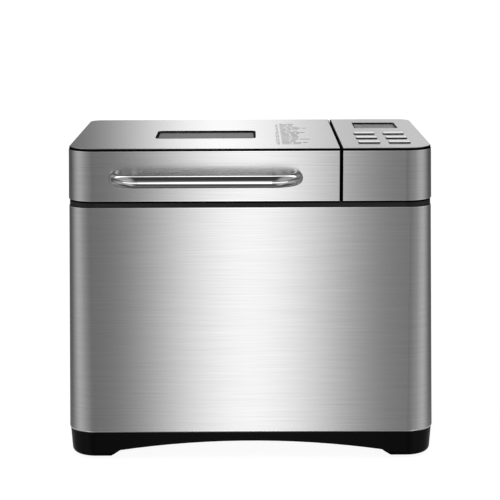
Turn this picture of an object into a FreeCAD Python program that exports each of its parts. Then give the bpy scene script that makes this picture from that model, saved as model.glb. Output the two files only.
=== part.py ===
"""A bread machine as a parametric assembly, in millimetres.

The cabinet frame has +X to the right seen from the front, +Y to the rear and +Z up from the table. Every
sub-part is drawn in that frame and then moved back by half of the handle's overhang, so that the middle of
the whole footprint lies at the origin. Turned parts are drawn on their own axis first.
"""

import FreeCAD
import Part
import Sketcher
import math
import os
import re
from FreeCAD import Vector

DIMENSIONS = {
    # cabinet
    "lid_width": 350.0,
    "lid_depth": 243.0,
    "total_height": 308.5,
    "corner_radius": 27.0,
    "rear_corner_radius": 14.0,
    "draft": 1.25,
    "lid_height": 50.8,
    "seam_height": 6.4,
    "body_step": 0.8,
    "base_height": 28.0,
    "skin": 1.0,
    "wall": 2.5,
    "fit_gap": 0.15,
    # base tray and feet
    "base_inset": 0.8,
    "base_taper": 3.8,
    "base_wall": 3.0,
    "base_rounding": 5.0,
    "foot_proud": 2.7,
    "foot_recess": 2.0,
    "foot_diameter": 20.0,
    "foot_x": 155.0,
    "foot_y": 99.0,
    "foot_floor": 7.5,
    "foot_hollow_length": 24.0,
    "foot_hollow_width": 26.0,
    "arch_crown": 19.4,
    "arch_rise": 9.6,
    "arch_half_span": 129.0,
    "arch_half_foot": 144.5,
    "side_arch_crown": 12.0,
    "side_arch_rise": 5.0,
    "side_arch_half_span": 70.0,
    "side_arch_half_foot": 77.0,
    "post_diameter": 14.0,
    "post_x": 140.0,
    "post_y": 80.0,
    # body wrap and rear panel
    "wrap_flange": 7.0,
    "wrap_rounding": 1.8,
    "rear_opening": 264.0,
    "panel_overlap": 8.0,
    "panel_thickness": 2.0,
    "panel_flange": 12.0,
    "vent_length": 62.0,
    "vent_height": 3.2,
    "vent_rounding": 1.4,
    "vent_pitch": 9.0,
    "vent_x": 66.0,
    "vent_bottom": 140.0,
    "vent_rows": 9,
    "rear_screw_x": 136.0,
    "rear_screw_bottom": 62.0,
    "rear_screw_pitch": 78.0,
    "gland_x": 112.0,
    "gland_level": 62.0,
    "gland_bore": 7.6,
    "gland_neck": 15.6,
    "gland_flange": 25.0,
    "gland_thickness": 4.0,
    "gland_clearance": 0.5,
    "gland_reach": 14.0,
    "gland_nut": 22.0,
    "gland_nut_depth": 10.0,
    "gland_nut_width": 6.0,
    # top frame and lid hinge
    "deck_thickness": 4.5,
    "deck_inset": 0.1,
    "deck_lip": 9.0,
    "lip_gap": 0.7,
    "cable_opening": 60.0,
    "cable_margin": 12.0,
    "hinge_y": 119.5,
    "hinge_level": 263.0,
    "hinge_left": -135.0,
    "hinge_right": 45.0,
    "knuckle_diameter": 9.0,
    "knuckle_width": 10.0,
    "tower_width": 12.0,
    "hinge_gap": 0.4,
    "notch_headroom": 2.5,
    "web_height": 6.0,
    "pin_diameter": 4.0,
    "running_gap": 0.05,
    "press_gap": 0.01,
    # oven chamber and what it holds
    "chamber_x": -43.0,
    "chamber_length": 200.0,
    "chamber_depth": 176.0,
    "chamber_radius": 32.0,
    "chamber_floor": 70.0,
    "chamber_wall": 0.8,
    "chamber_flange": 8.0,
    "chamber_flange_thickness": 0.8,
    "shaft_opening": 30.0,
    "element_length": 174.0,
    "element_depth": 156.0,
    "element_diameter": 6.5,
    "element_bend": 12.0,
    "element_level": 96.0,
    "terminal_y": 34.0,
    "terminal_reach": 10.0,
    "element_clearance": 1.0,
    "bracket_width": 8.0,
    "sensor_diameter": 6.0,
    "sensor_clearance": 0.4,
    "sensor_tail": 16.0,
    "sensor_flange": 2.0,
    "sensor_level": 140.0,
    "sensor_y": 20.0,
    "sensor_reach": 4.0,
    "seat_diameter": 104.0,
    "seat_bore": 86.4,
    "seat_height": 8.0,
    "seat_ledge": 1.8,
    "clip_width": 14.0,
    "clip_thickness": 0.8,
    "clip_height": 13.0,
    "clip_gap": 1.0,
    "clip_toe": 16.0,
    "clip_tip_gap": 0.6,
    # bread pan
    "pan_length": 156.0,
    "pan_depth": 110.0,
    "pan_height": 132.0,
    "pan_draft": 2.4,
    "pan_radius": 24.0,
    "pan_wall": 1.5,
    "pan_bottom": 92.0,
    "pan_rounding": 9.0,
    "rim_width": 5.0,
    "ring_diameter": 85.0,
    "ring_bore": 77.0,
    "ring_bottom": 73.0,
    "ear_width": 20.0,
    "ear_thickness": 1.6,
    "ear_gap": 1.0,
    "ear_foot": 3.0,
    "ear_hole": 5.4,
    "bail_level": 229.0,
    "bail_diameter": 5.0,
    "bail_leg": 60.0,
    "bail_bend": 5.0,
    "bail_overhang": 3.5,
    "bearing_diameter": 16.0,
    "bearing_flange": 30.0,
    "bearing_flange_height": 3.0,
    "bearing_rise": 1.0,
    "shaft_seal_height": 3.0,
    "shaft_seal_taper": 2.0,
    "pan_shaft_diameter": 8.0,
    "pan_shaft_top": 120.0,
    "pan_shaft_flat": 1.2,
    "shaft_chamfer": 1.0,
    "dog_length": 34.0,
    "dog_width": 9.0,
    "dog_bottom": 79.5,
    "dog_height": 6.0,
    "dog_gap": 0.6,
    "paddle_hub": 17.0,
    "paddle_bottom": 99.0,
    "paddle_hub_height": 20.0,
    "paddle_reach": 44.0,
    "paddle_thickness": 5.0,
    "paddle_height": 24.0,
    "paddle_lift": 0.5,
    "paddle_shoulder": 0.55,
    "paddle_rounding": 2.2,
    # drive under the chamber
    "chassis_level": 46.0,
    "chassis_thickness": 1.6,
    "chassis_left": -152.0,
    "chassis_right": 176.0,
    "chassis_depth": 200.0,
    "shaft_diameter": 10.0,
    "shaft_bottom": 26.5,
    "bearing_tube": 25.2,
    "bearing_foot_height": 3.0,
    "bearing_gap": 1.5,
    "bearing_headroom": 4.0,
    "cup_bottom": 74.0,
    "cup_diameter": 42.0,
    "cup_floor": 3.0,
    "cup_hub": 18.0,
    "cup_socket": 1.0,
    "lug_height": 6.0,
    "lug_width": 8.0,
    "lug_margin": 1.0,
    "pulley_bottom": 30.0,
    "pulley_width": 12.0,
    "pulley_diameter": 108.0,
    "pulley_flange": 2.5,
    "pulley_rim": 4.0,
    "pulley_web": 4.0,
    "pulley_hub": 24.0,
    "pulley_hole": 20.0,
    "pulley_lip": 1.0,
    "pulley_slope": 0.6,
    "motor_x": 128.0,
    "motor_y": 22.0,
    "motor_diameter": 76.0,
    "motor_height": 92.0,
    "motor_flange": 92.0,
    "motor_foot": 3.0,
    "motor_shell": 6.0,
    "motor_shoulder": 8.0,
    "motor_boss": 4.0,
    "motor_screw_circle": 84.0,
    "motor_shaft_diameter": 8.0,
    "motor_pulley_diameter": 18.0,
    "fan_diameter": 62.0,
    "fan_height": 9.0,
    "fan_gap": 1.5,
    "fan_disc": 1.5,
    "fan_blade": 1.6,
    "belt_thickness": 2.4,
    "belt_gap": 0.3,
    "belt_margin": 2.4,
    "capacitor_diameter": 34.0,
    "capacitor_height": 58.0,
    "capacitor_x": 104.0,
    "capacitor_y": -72.0,
    "tag_spread": 6.0,
    "tag_width": 6.0,
    "tag_thickness": 0.8,
    "tag_height": 8.0,
    "shield_x": 66.0,
    "shield_half_depth": 86.0,
    "shield_top": 244.0,
    "shield_foot": 14.0,
    "board_x": 78.0,
    "board_bottom": 160.0,
    "board_top": 238.0,
    "board_half_depth": 58.0,
    "board_thickness": 1.6,
    "board_post": 6.0,
    "board_margin": 6.0,
    # lid
    "lid_right": 86.5,
    "lid_skin_right": 85.5,
    "trim_height": 2.1,
    "trim_inset": 0.4,
    "plate_inset": 1.0,
    "plate_thickness": 0.6,
    "top_wall": 2.7,
    "frame_clearance": 0.8,
    "liner_top": 296.8,
    "liner_gauge": 0.8,
    "liner_flange_level": 260.5,
    "liner_rear_flange": 112.0,
    "liner_margin": 3.0,
    "liner_gap": 0.8,
    "seal_width": 6.0,
    "seal_gap": 0.4,
    "seal_margin": 5.0,
    "window_x": -44.5,
    "window_y": -13.0,
    "window_length": 96.6,
    "window_depth": 61.0,
    "window_radius": 4.0,
    "window_recess": 1.2,
    "bezel_width": 2.0,
    "bezel_grip": 3.5,
    "bezel_ledge": 3.0,
    "bezel_floor": 1.3,
    "pane_thickness": 2.0,
    "inner_pane_thickness": 3.0,
    "inner_pane_overlap": 4.0,
    "inner_pane_ledge": 2.0,
    # handle
    "handle_x": -42.0,
    "handle_level": 280.9,
    "handle_span": 173.0,
    "handle_diameter": 11.9,
    "handle_standoff": 30.0,
    "handle_bend": 24.0,
    "handle_screw_diameter": 5.0,
    "handle_screw_length": 16.0,
    "handle_screw_head": 9.5,
    "handle_screw_head_height": 3.0,
    # control section
    "control_left": 88.0,
    "control_skin_left": 89.0,
    "display_x": 132.5,
    "display_y": 62.3,
    "display_length": 45.5,
    "display_depth": 51.5,
    "display_recess": 0.9,
    "button_x": 131.1,
    "button_y": -48.5,
    "button_column_pitch": 29.6,
    "button_row_pitch": 35.5,
    "button_length": 20.8,
    "button_depth": 11.0,
    "button_proud": 1.7,
    "button_gap": 0.3,
    "button_travel": 0.8,
    "button_rounding": 0.6,
    "button_radius": 1.8,
    "button_flange": 1.6,
    "button_flange_height": 1.8,
    "button_stem": 6.0,
    "button_idle_gap": 0.2,
    "opening_radius": 2.0,
    "module_margin": 2.0,
    "control_board_level": 296.0,
    "control_board_width": 72.7,
    "control_board_margin": 6.0,
    "control_board_front": -103.0,
    "control_board_rear": 101.0,
    "control_post": 7.0,
    "control_post_margin": 4.0,
    "switch_size": 6.0,
    "switch_drop": 4.4,
    "plunger_diameter": 3.5,
    "plunger_height": 1.0,
    "screw_diameter": 3.8,
    "screw_hole": 4.0,
    "screw_head": 7.5,
    "screw_head_height": 2.4,
    "screw_length": 12.0,
    "screw_tip_gap": 1.5,
}

SHEET = "Dimensions"
ROOT_POINT = -1
HORIZONTAL_AXIS = -1
VERTICAL_AXIS = -2
START = 1
END = 2
CENTRE = 3
TINY = 1e-7
SLACK = 0.01
# How far a cut runs past the face that it opens
PAST = "1"

doc = FreeCAD.newDocument("bread_machine")
sheet = doc.addObject("Spreadsheet::Sheet", SHEET)
for row, (alias, number) in enumerate(DIMENSIONS.items(), start=1):
    sheet.set(f"A{row}", alias)
    sheet.set(f"B{row}", str(number))
    sheet.setAlias(f"B{row}", alias)
doc.recompute()


def bound(expression):
    """Turn bare dimension names into references to the sheet."""
    return re.sub(
        r"[a-z][a-z_]+",
        lambda word: f"{SHEET}.{word.group(0)}" if word.group(0) in DIMENSIONS else word.group(0),
        expression,
    )


def value(expression):
    """The number that an expression has now."""
    result = sheet.evalExpression(bound(expression))
    return float(getattr(result, "Value", result))


# Levels and outlines that several sub-parts share
LID_BOTTOM = "(total_height - lid_height)"
BODY_TOP = f"({LID_BOTTOM} - seam_height)"
DECK_TOP = f"({BODY_TOP} + deck_thickness)"
SKIRT_TOP = "(total_height - plate_thickness - trim_height)"
PLATE_BOTTOM = "(total_height - plate_thickness)"
TOP_WALL_BOTTOM = f"({PLATE_BOTTOM} - top_wall)"
TRAY_FLOOR = "(arch_crown + base_wall)"
CHAMBER_INSIDE = "(chamber_floor + chamber_wall)"
CHASSIS_TOP = "(chassis_level + chassis_thickness)"
FRAME_INSET = "(skin + fit_gap)"
PAN_FLOOR = "(pan_bottom + pan_wall)"
PAN_RIM = f"({PAN_FLOOR} + pan_height)"
PAN_SPREAD = "(pan_height + pan_wall) * tan(pan_draft)"
BOARD_TOP = "(control_board_level + board_thickness)"


def lid_half(side, level, inset="0"):
    """Half the lid's width or depth at a level, with its draft."""
    return f"({side} / 2 + (total_height - ({level})) * tan(draft) - ({inset}))"


def body_half(side, level, inset="0"):
    return lid_half(side, level, f"body_step + {inset}")


HANDLE_FACE = lid_half("lid_depth", "handle_level")
HANDLE_FRONT = f"({HANDLE_FACE} + handle_standoff + handle_diameter / 2)"
GLAND_FACE = body_half("lid_depth", "gland_level", "skin - gland_clearance")
GLAND_BACK = f"({GLAND_FACE} + gland_thickness)"
CABINET_SHIFT = f"(({HANDLE_FRONT} - {GLAND_BACK}) / 2)"


def move(item, x="0", y="0", z="0"):
    """Bind an object's place to the sheet."""
    for axis, expression in (("x", x), ("y", y), ("z", z)):
        item.setExpression(f"Placement.Base.{axis}", bound(expression))
    return item


SUBPARTS = []


def finish(item, label, x="0", y="0", z="0"):
    """Name a finished sub-part and place it in the assembly."""
    item.Label = label
    move(item, x, f"{y} + {CABINET_SHIFT}", z)
    SUBPARTS.append(item)
    return item


# Sketches


def new_body(name):
    return doc.addObject("PartDesign::Body", f"body_{name}")


def new_sketch(body, role, offset="0"):
    """A sketch on one of the body's own origin planes, moved along the plane's normal."""
    sketch = body.newObject("Sketcher::SketchObject", "outline")
    plane = next(item for item in body.Origin.OriginFeatures if item.Role == role)
    sketch.AttachmentSupport = [(plane, "")]
    sketch.MapMode = "FlatFace"
    sketch.setExpression("AttachmentOffset.Base.z", bound(offset))
    return sketch


def dimension(sketch, constraint, expression):
    index = sketch.addConstraint(constraint)
    sketch.setExpression(f"Constraints[{index}]", bound(expression))


def hold(sketch, kind, curve, position, expression):
    """Fix one coordinate of a point from the sketch's origin."""
    number = value(expression)
    if abs(number) < TINY:
        axis = VERTICAL_AXIS if kind == "DistanceX" else HORIZONTAL_AXIS
        sketch.addConstraint(Sketcher.Constraint("PointOnObject", curve, position, axis))
        return
    dimension(sketch, Sketcher.Constraint(kind, ROOT_POINT, START, curve, position, number), expression)


def circle(sketch, diameter, x="0", y="0"):
    shape = Part.Circle(Vector(value(x), value(y), 0), Vector(0, 0, 1), value(diameter) / 2)
    curve = sketch.addGeometry(shape, False)
    dimension(sketch, Sketcher.Constraint("Diameter", curve, value(diameter)), diameter)
    hold(sketch, "DistanceX", curve, CENTRE, x)
    hold(sketch, "DistanceY", curve, CENTRE, y)


def polygon(sketch, points, arcs=None):
    """A closed outline through points; arcs gives the crown and radius of the stretch after a point."""
    arcs = arcs or {}
    places = [Vector(value(x), value(y), 0) for x, y in points]
    curves = []
    for index, place in enumerate(places):
        following = places[(index + 1) % len(places)]
        if index in arcs:
            crown_x, crown_y, radius = arcs[index]
            crown = Vector(value(crown_x), value(crown_y), 0)
            arc = Part.Arc(place, crown, following)
            curves.append(sketch.addGeometry(arc, False))
        else:
            curves.append(sketch.addGeometry(Part.LineSegment(place, following), False))
    ends = []
    for index, curve in enumerate(curves):
        first = sketch.getPoint(curve, START)
        ends.append((START, END) if first.distanceToPoint(places[index]) < TINY else (END, START))
    for index, curve in enumerate(curves):
        after = (index + 1) % len(curves)
        joint = Sketcher.Constraint("Coincident", curve, ends[index][1], curves[after], ends[after][0])
        sketch.addConstraint(joint)
    for index, (x, y) in enumerate(points):
        hold(sketch, "DistanceX", curves[index], ends[index][0], x)
        hold(sketch, "DistanceY", curves[index], ends[index][0], y)
    for index, (crown_x, crown_y, radius) in arcs.items():
        dimension(sketch, Sketcher.Constraint("Radius", curves[index], value(radius)), radius)


def rectangle(sketch, left, right, low, high):
    polygon(sketch, [(left, low), (right, low), (right, high), (left, high)])


def rounded_rectangle(sketch, left, right, low, high, radius, rear_radius=None):
    """A rectangle with round corners. The two at the rear may have a radius of their own."""
    rear_radius = rear_radius or radius
    x0, x1, y0, y1, front, rear = (value(item) for item in (left, right, low, high, radius, rear_radius))
    radii = [front, rear, rear, front]
    centres = [
        (x1 - front, y0 + front),
        (x1 - rear, y1 - rear),
        (x0 + rear, y1 - rear),
        (x0 + front, y0 + front),
    ]
    starts = [(x0 + front, y0), (x1, y0 + front), (x1 - rear, y1), (x0, y1 - rear)]
    stops = [(x1 - front, y0), (x1, y1 - rear), (x0 + rear, y1), (x0, y0 + front)]
    lines = []
    corners = []
    for side in range(4):
        line = Part.LineSegment(Vector(*starts[side], 0), Vector(*stops[side], 0))
        lines.append(sketch.addGeometry(line, False))
        turn = Part.Circle(Vector(*centres[side], 0), Vector(0, 0, 1), radii[side])
        first = math.radians(90 * (side - 1))
        arc = Part.ArcOfCircle(turn, first, first + math.pi / 2)
        corners.append(sketch.addGeometry(arc, False))
    for side in range(4):
        sketch.addConstraint(Sketcher.Constraint("Tangent", lines[side], END, corners[side], START))
        sketch.addConstraint(Sketcher.Constraint("Tangent", corners[side], END, lines[(side + 1) % 4], START))
        direction = "Horizontal" if side % 2 == 0 else "Vertical"
        sketch.addConstraint(Sketcher.Constraint(direction, lines[side]))
    sketch.addConstraint(Sketcher.Constraint("Equal", corners[0], corners[3]))
    sketch.addConstraint(Sketcher.Constraint("Equal", corners[1], corners[2]))
    dimension(sketch, Sketcher.Constraint("Radius", corners[0], front), radius)
    dimension(sketch, Sketcher.Constraint("Radius", corners[1], rear), rear_radius)
    hold(sketch, "DistanceY", lines[0], START, low)
    hold(sketch, "DistanceX", lines[1], START, right)
    hold(sketch, "DistanceY", lines[2], START, high)
    hold(sketch, "DistanceX", lines[3], START, left)


# Features


def pad(body, sketch, length, taper=None, reverse=False, midplane=False):
    feature = body.newObject("PartDesign::Pad", "pad")
    feature.Profile = sketch
    feature.setExpression("Length", bound(length))
    if taper:
        feature.setExpression("TaperAngle", bound(taper))
    feature.Reversed = reverse
    feature.Midplane = midplane
    body.Tip = feature
    return feature


def pocket(body, sketch, length=None, taper=None, reverse=False, midplane=False):
    """A cut of a given length, or right through."""
    feature = body.newObject("PartDesign::Pocket", "pocket")
    feature.Profile = sketch
    if length:
        feature.setExpression("Length", bound(length))
    else:
        feature.Type = "ThroughAll"
    if taper:
        feature.setExpression("TaperAngle", bound(taper))
    feature.Reversed = reverse
    feature.Midplane = midplane
    body.Tip = feature
    return feature


def round_edges(body, radius, chosen):
    """Fillet the edges of the body so far that a test picks."""
    doc.recompute()
    base = body.Tip
    names = [f"Edge{index}" for index, edge in enumerate(base.Shape.Edges, start=1) if chosen(edge)]
    feature = body.newObject("PartDesign::Fillet", "fillet")
    feature.Base = (base, names)
    feature.setExpression("Radius", bound(radius))
    body.Tip = feature
    return feature


def edge_lies_at(level):
    """A test for edges that lie flat at a level."""
    height = value(level)
    return lambda edge: edge.BoundBox.ZMax - height < SLACK and height - edge.BoundBox.ZMin < SLACK


def block(body, left, right, front, rear, low, high, radius=None):
    """Add a plain or round-cornered block."""
    sketch = new_sketch(body, "XY_Plane", low)
    if radius:
        rounded_rectangle(sketch, left, right, front, rear, radius)
    else:
        rectangle(sketch, left, right, front, rear)
    return pad(body, sketch, f"({high}) - ({low})")


def hollow(body, left, right, front, rear, low, high, radius=None):
    """Cut a plain or round-cornered block."""
    sketch = new_sketch(body, "XY_Plane", low)
    if radius:
        rounded_rectangle(sketch, left, right, front, rear, radius)
    else:
        rectangle(sketch, left, right, front, rear)
    return pocket(body, sketch, f"({high}) - ({low})", reverse=True)


def drill_up(body, diameter, low, high, places):
    sketch = new_sketch(body, "XY_Plane", low)
    for x, y in places:
        circle(sketch, diameter, x, y)
    return pocket(body, sketch, f"({high}) - ({low})", reverse=True)


def corners_at(inset):
    """The cabinet's corner radii at the front and at the rear, some way inside its outline."""
    return f"corner_radius - ({inset})", f"rear_corner_radius - ({inset})"


def outline_at(sketch, half, level, inset):
    """The cabinet's rounded outline at a level."""
    across = half("lid_width", level, inset)
    along = half("lid_depth", level, inset)
    rounded_rectangle(sketch, f"-{across}", across, f"-{along}", along, *corners_at(inset))


def drafted_solid(body, half, low, high, inset):
    """Add a solid that follows the cabinet's outline and draft."""
    sketch = new_sketch(body, "XY_Plane", low)
    outline_at(sketch, half, low, inset)
    return pad(body, sketch, f"({high}) - ({low})", taper="-draft")


def drafted_hollow(body, half, low, high, inset):
    sketch = new_sketch(body, "XY_Plane", low)
    outline_at(sketch, half, low, inset)
    return pocket(body, sketch, f"({high}) - ({low})", taper="-draft", reverse=True)


def cut_beyond(body, side, plane):
    """Remove everything to the right or left of an upright plane."""
    far = "lid_width"
    sketch = new_sketch(body, "XY_Plane", "0")
    if side == "right":
        rectangle(sketch, plane, far, "-lid_width", "lid_width")
    else:
        rectangle(sketch, f"-{far}", plane, "-lid_width", "lid_width")
    return pocket(body, sketch, "2 * total_height", reverse=True)


def turned(name, profile):
    """A body turned round its own Z axis from radius and height pairs."""
    body = new_body(name)
    sketch = new_sketch(body, "XZ_Plane")
    polygon(sketch, profile)
    feature = body.newObject("PartDesign::Revolution", "revolution")
    feature.Profile = sketch
    feature.ReferenceAxis = (sketch, ["V_Axis"])
    feature.Angle = 360
    body.Tip = feature
    return body


def bent_rod(name, level, points, bend, diameter):
    """A round rod along straight runs in X and Y, joined by bends, at one level."""
    body = new_body(name)
    path = new_sketch(body, "XY_Plane", level)
    corners = [Vector(value(x), value(y), 0) for x, y in points]
    reach = value(bend)
    lines = []
    arcs = []
    runs = [(after - before).normalize() for before, after in zip(corners, corners[1:])]
    for index, run in enumerate(runs):
        begin = corners[index] + run * (reach if index else 0)
        close = corners[index + 1] - run * (reach if index + 1 < len(runs) else 0)
        lines.append(path.addGeometry(Part.LineSegment(begin, close), False))
        if index + 1 < len(runs):
            after = runs[index + 1]
            middle = close + after * reach
            crown = middle + (run - after).normalize() * reach
            opening = corners[index + 1] + after * reach
            arcs.append(path.addGeometry(Part.Arc(close, crown, opening), False))
    for index, arc in enumerate(arcs):
        meets = path.getPoint(lines[index], END)
        forward = path.getPoint(arc, START).distanceToPoint(meets) < TINY
        first, last = (START, END) if forward else (END, START)
        path.addConstraint(Sketcher.Constraint("Tangent", lines[index], END, arc, first))
        path.addConstraint(Sketcher.Constraint("Tangent", arc, last, lines[index + 1], START))
        dimension(path, Sketcher.Constraint("Radius", arc, reach), bend)
    for index, run in enumerate(runs):
        along_x = abs(run.x) > abs(run.y)
        path.addConstraint(Sketcher.Constraint("Horizontal" if along_x else "Vertical", lines[index]))
        kind, expression = ("DistanceY", points[index][1]) if along_x else ("DistanceX", points[index][0])
        hold(path, kind, lines[index], START, expression)
    for curve, position, point, run in ((0, START, points[0], runs[0]), (-1, END, points[-1], runs[-1])):
        kind, expression = ("DistanceX", point[0]) if abs(run.x) > abs(run.y) else ("DistanceY", point[1])
        hold(path, kind, lines[curve], position, expression)
    if abs(runs[0].x) > abs(runs[0].y):
        section = new_sketch(body, "YZ_Plane", points[0][0])
        circle(section, diameter, points[0][1], level)
    else:
        section = new_sketch(body, "XZ_Plane", f"-({points[0][1]})")
        circle(section, diameter, points[0][0], level)
    feature = body.newObject("PartDesign::AdditivePipe", "pipe")
    feature.Profile = section
    feature.Spine = (path, [f"Edge{index + 1}" for index in range(len(lines) + len(arcs))])
    body.Tip = feature
    return body


def box(left, right, front, rear, low, high):
    item = doc.addObject("Part::Box", "box")
    item.setExpression("Length", bound(f"{right} - ({left})"))
    item.setExpression("Width", bound(f"{rear} - ({front})"))
    item.setExpression("Height", bound(f"{high} - ({low})"))
    return move(item, left, front, low)


UP = FreeCAD.Rotation()
ALONG_X = FreeCAD.Rotation(Vector(0, 1, 0), 90)
ALONG_Y = FreeCAD.Rotation(Vector(1, 0, 0), -90)


def rod(diameter, length, x, y, z, direction=UP):
    item = doc.addObject("Part::Cylinder", "rod")
    item.setExpression("Radius", bound(f"({diameter}) / 2"))
    item.setExpression("Height", bound(length))
    item.Placement = FreeCAD.Placement(Vector(), direction)
    return move(item, x, y, z)


def fuse(*items):
    joined = doc.addObject("Part::MultiFuse", "fuse")
    joined.Shapes = list(items)
    return joined


def cut(base, tool):
    item = doc.addObject("Part::Cut", "cut")
    item.Base = base
    item.Tool = tool
    return item


def group(items):
    """Several separate solids that share one node."""
    item = doc.addObject("Part::Compound", "group")
    item.Links = list(items)
    return item


CORNERS = [("-", "-"), ("", "-"), ("", ""), ("-", "")]


def at_corners(x, y):
    return [(f"{sign_x}{x}", f"{sign_y}{y}") for sign_x, sign_y in CORNERS]


# Base


def base_tray():
    body = new_body("base_tray")
    drop = "(base_height - foot_proud) * tan(base_taper)"
    across = body_half("lid_width", "base_height", f"base_inset + {drop}")
    along = body_half("lid_depth", "base_height", f"base_inset + {drop}")
    sketch = new_sketch(body, "XY_Plane", "foot_proud")
    rounded_rectangle(sketch, f"-{across}", across, f"-{along}", along, *corners_at(f"base_inset + {drop}"))
    pad(body, sketch, "base_height - foot_proud", taper="base_taper")
    round_edges(body, "base_rounding", edge_lies_at("foot_proud"))
    arches = (
        ("XZ_Plane", "arch_half_foot", "arch_half_span", "arch_crown", "arch_rise"),
        ("YZ_Plane", "side_arch_half_foot", "side_arch_half_span", "side_arch_crown", "side_arch_rise"),
    )
    for role, foot, span, crown, rise in arches:
        arch = new_sketch(body, role)
        spring = f"{crown} - {rise}"
        points = [(f"-{foot}", f"-{PAST}"), (foot, f"-{PAST}"), (span, spring), (f"-{span}", spring)]
        polygon(arch, points, {2: ("0", crown, f"({span}^2 + {rise}^2) / (2 * {rise})")})
        pocket(body, arch, midplane=True)
    cavity = new_sketch(body, "XY_Plane", TRAY_FLOOR)
    outline_at(cavity, body_half, "base_height", "base_inset + base_wall")
    pocket(body, cavity, "base_height", reverse=True)
    hollows = new_sketch(body, "XY_Plane", "foot_floor")
    for x, y in at_corners("foot_x", "foot_y"):
        rectangle(
            hollows,
            f"{x} - foot_hollow_length / 2",
            f"{x} + foot_hollow_length / 2",
            f"{y} - foot_hollow_width / 2",
            f"{y} + foot_hollow_width / 2",
        )
    pocket(body, hollows, "base_height", reverse=True)
    posts = new_sketch(body, "XY_Plane", f"{TRAY_FLOOR} - base_wall / 2")
    for x, y in at_corners("post_x", "post_y"):
        circle(posts, "post_diameter", x, y)
    pad(body, posts, f"chassis_level - {TRAY_FLOOR} + base_wall / 2")
    screw_end = "chassis_level - screw_length"
    drill_up(body, "screw_hole", screw_end, f"chassis_level + {PAST}", at_corners("post_x", "post_y"))
    recess = "foot_proud + foot_recess"
    drill_up(body, "foot_diameter + 2 * fit_gap", "0", recess, at_corners("foot_x", "foot_y"))
    return finish(body, "base_tray")


def rubber_feet():
    height = "foot_proud + foot_recess"
    pads = [rod("foot_diameter", height, x, y, "0") for x, y in at_corners("foot_x", "foot_y")]
    return finish(group(pads), "rubber_feet")


# Body


def body_wrap():
    body = new_body("body_wrap")
    drafted_solid(body, body_half, "base_height", BODY_TOP, "0")
    round_edges(body, "wrap_rounding", edge_lies_at("base_height"))
    drafted_hollow(body, body_half, "(base_height + skin)", f"({BODY_TOP} + {PAST})", "skin")
    drafted_hollow(body, body_half, "(base_height - skin)", "(base_height + 2 * skin)", "wrap_flange")
    opening = new_sketch(body, "XZ_Plane")
    rectangle(opening, "-rear_opening / 2", "rear_opening / 2", "0", "total_height")
    pocket(body, opening)
    holes = new_sketch(body, "XZ_Plane")
    for x, z in rear_screw_places():
        circle(holes, "screw_hole", x, z)
    pocket(body, holes)
    return finish(body, "body_wrap")


def rear_screw_places():
    rows = [f"rear_screw_bottom + {row} * rear_screw_pitch" for row in range(3)]
    return [(f"{sign}rear_screw_x", z) for sign in ("-", "") for z in rows]


def rear_panel():
    body = new_body("rear_panel")
    profile = new_sketch(body, "YZ_Plane")
    low = "base_height"
    high = f"({BODY_TOP} - fit_gap)"
    inset = "skin + fit_gap"
    thick = f"{inset} + panel_thickness"
    foot = "(base_height + skin + fit_gap)"
    points = [
        (body_half("lid_depth", foot, inset), foot),
        (body_half("lid_depth", high, inset), high),
        (body_half("lid_depth", high, thick), high),
        (body_half("lid_depth", foot, thick), f"{foot} + panel_thickness"),
        (body_half("lid_depth", foot, "panel_flange"), f"{foot} + panel_thickness"),
        (body_half("lid_depth", foot, "panel_flange"), foot),
    ]
    polygon(profile, points)
    pad(body, profile, "rear_opening + 2 * panel_overlap", midplane=True)
    slots = new_sketch(body, "XZ_Plane")
    for sign in ("-", ""):
        rounded_rectangle(
            slots,
            f"{sign}vent_x - vent_length / 2",
            f"{sign}vent_x + vent_length / 2",
            "vent_bottom",
            "vent_bottom + vent_height",
            "vent_rounding",
        )
    lowest_pair = pocket(body, slots)
    rows = body.newObject("PartDesign::LinearPattern", "rows_of_vents")
    rows.Originals = [lowest_pair]
    rows.Direction = (slots, ["V_Axis"])
    rows.setExpression("Length", bound("vent_pitch * (vent_rows - 1)"))
    rows.setExpression("Occurrences", bound("vent_rows"))
    body.Tip = rows
    holes = new_sketch(body, "XZ_Plane")
    for x, z in rear_screw_places():
        circle(holes, "screw_hole", x, z)
    circle(holes, "gland_neck + 4 * fit_gap", "gland_x", "gland_level")
    pocket(body, holes)
    return finish(body, "rear_panel")


def rear_screws():
    screws = []
    for x, z in rear_screw_places():
        seat = f"({body_half('lid_depth', z)} + fit_gap)"
        head = rod("screw_head", "screw_head_height", x, seat, z, ALONG_Y)
        shank = rod("screw_diameter", "screw_length", x, f"{seat} - screw_length + skin", z, ALONG_Y)
        screws.append(fuse(head, shank))
    return finish(group(screws), "rear_screws")


def cord_gland():
    place = {"x": "gland_x", "z": "gland_level", "direction": ALONG_Y}
    flange = rod("gland_flange", "gland_thickness", y=GLAND_FACE, **place)
    neck = rod("gland_neck", "gland_reach + gland_thickness / 2", y=f"{GLAND_FACE} - gland_reach", **place)
    nut = rod("gland_nut", "gland_nut_width", y=f"{GLAND_FACE} - gland_nut_depth", **place)
    bore = rod("gland_bore", "3 * gland_reach", y=f"{GLAND_FACE} - 2 * gland_reach", **place)
    return finish(cut(fuse(flange, neck, nut), bore), "cord_gland")


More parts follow.
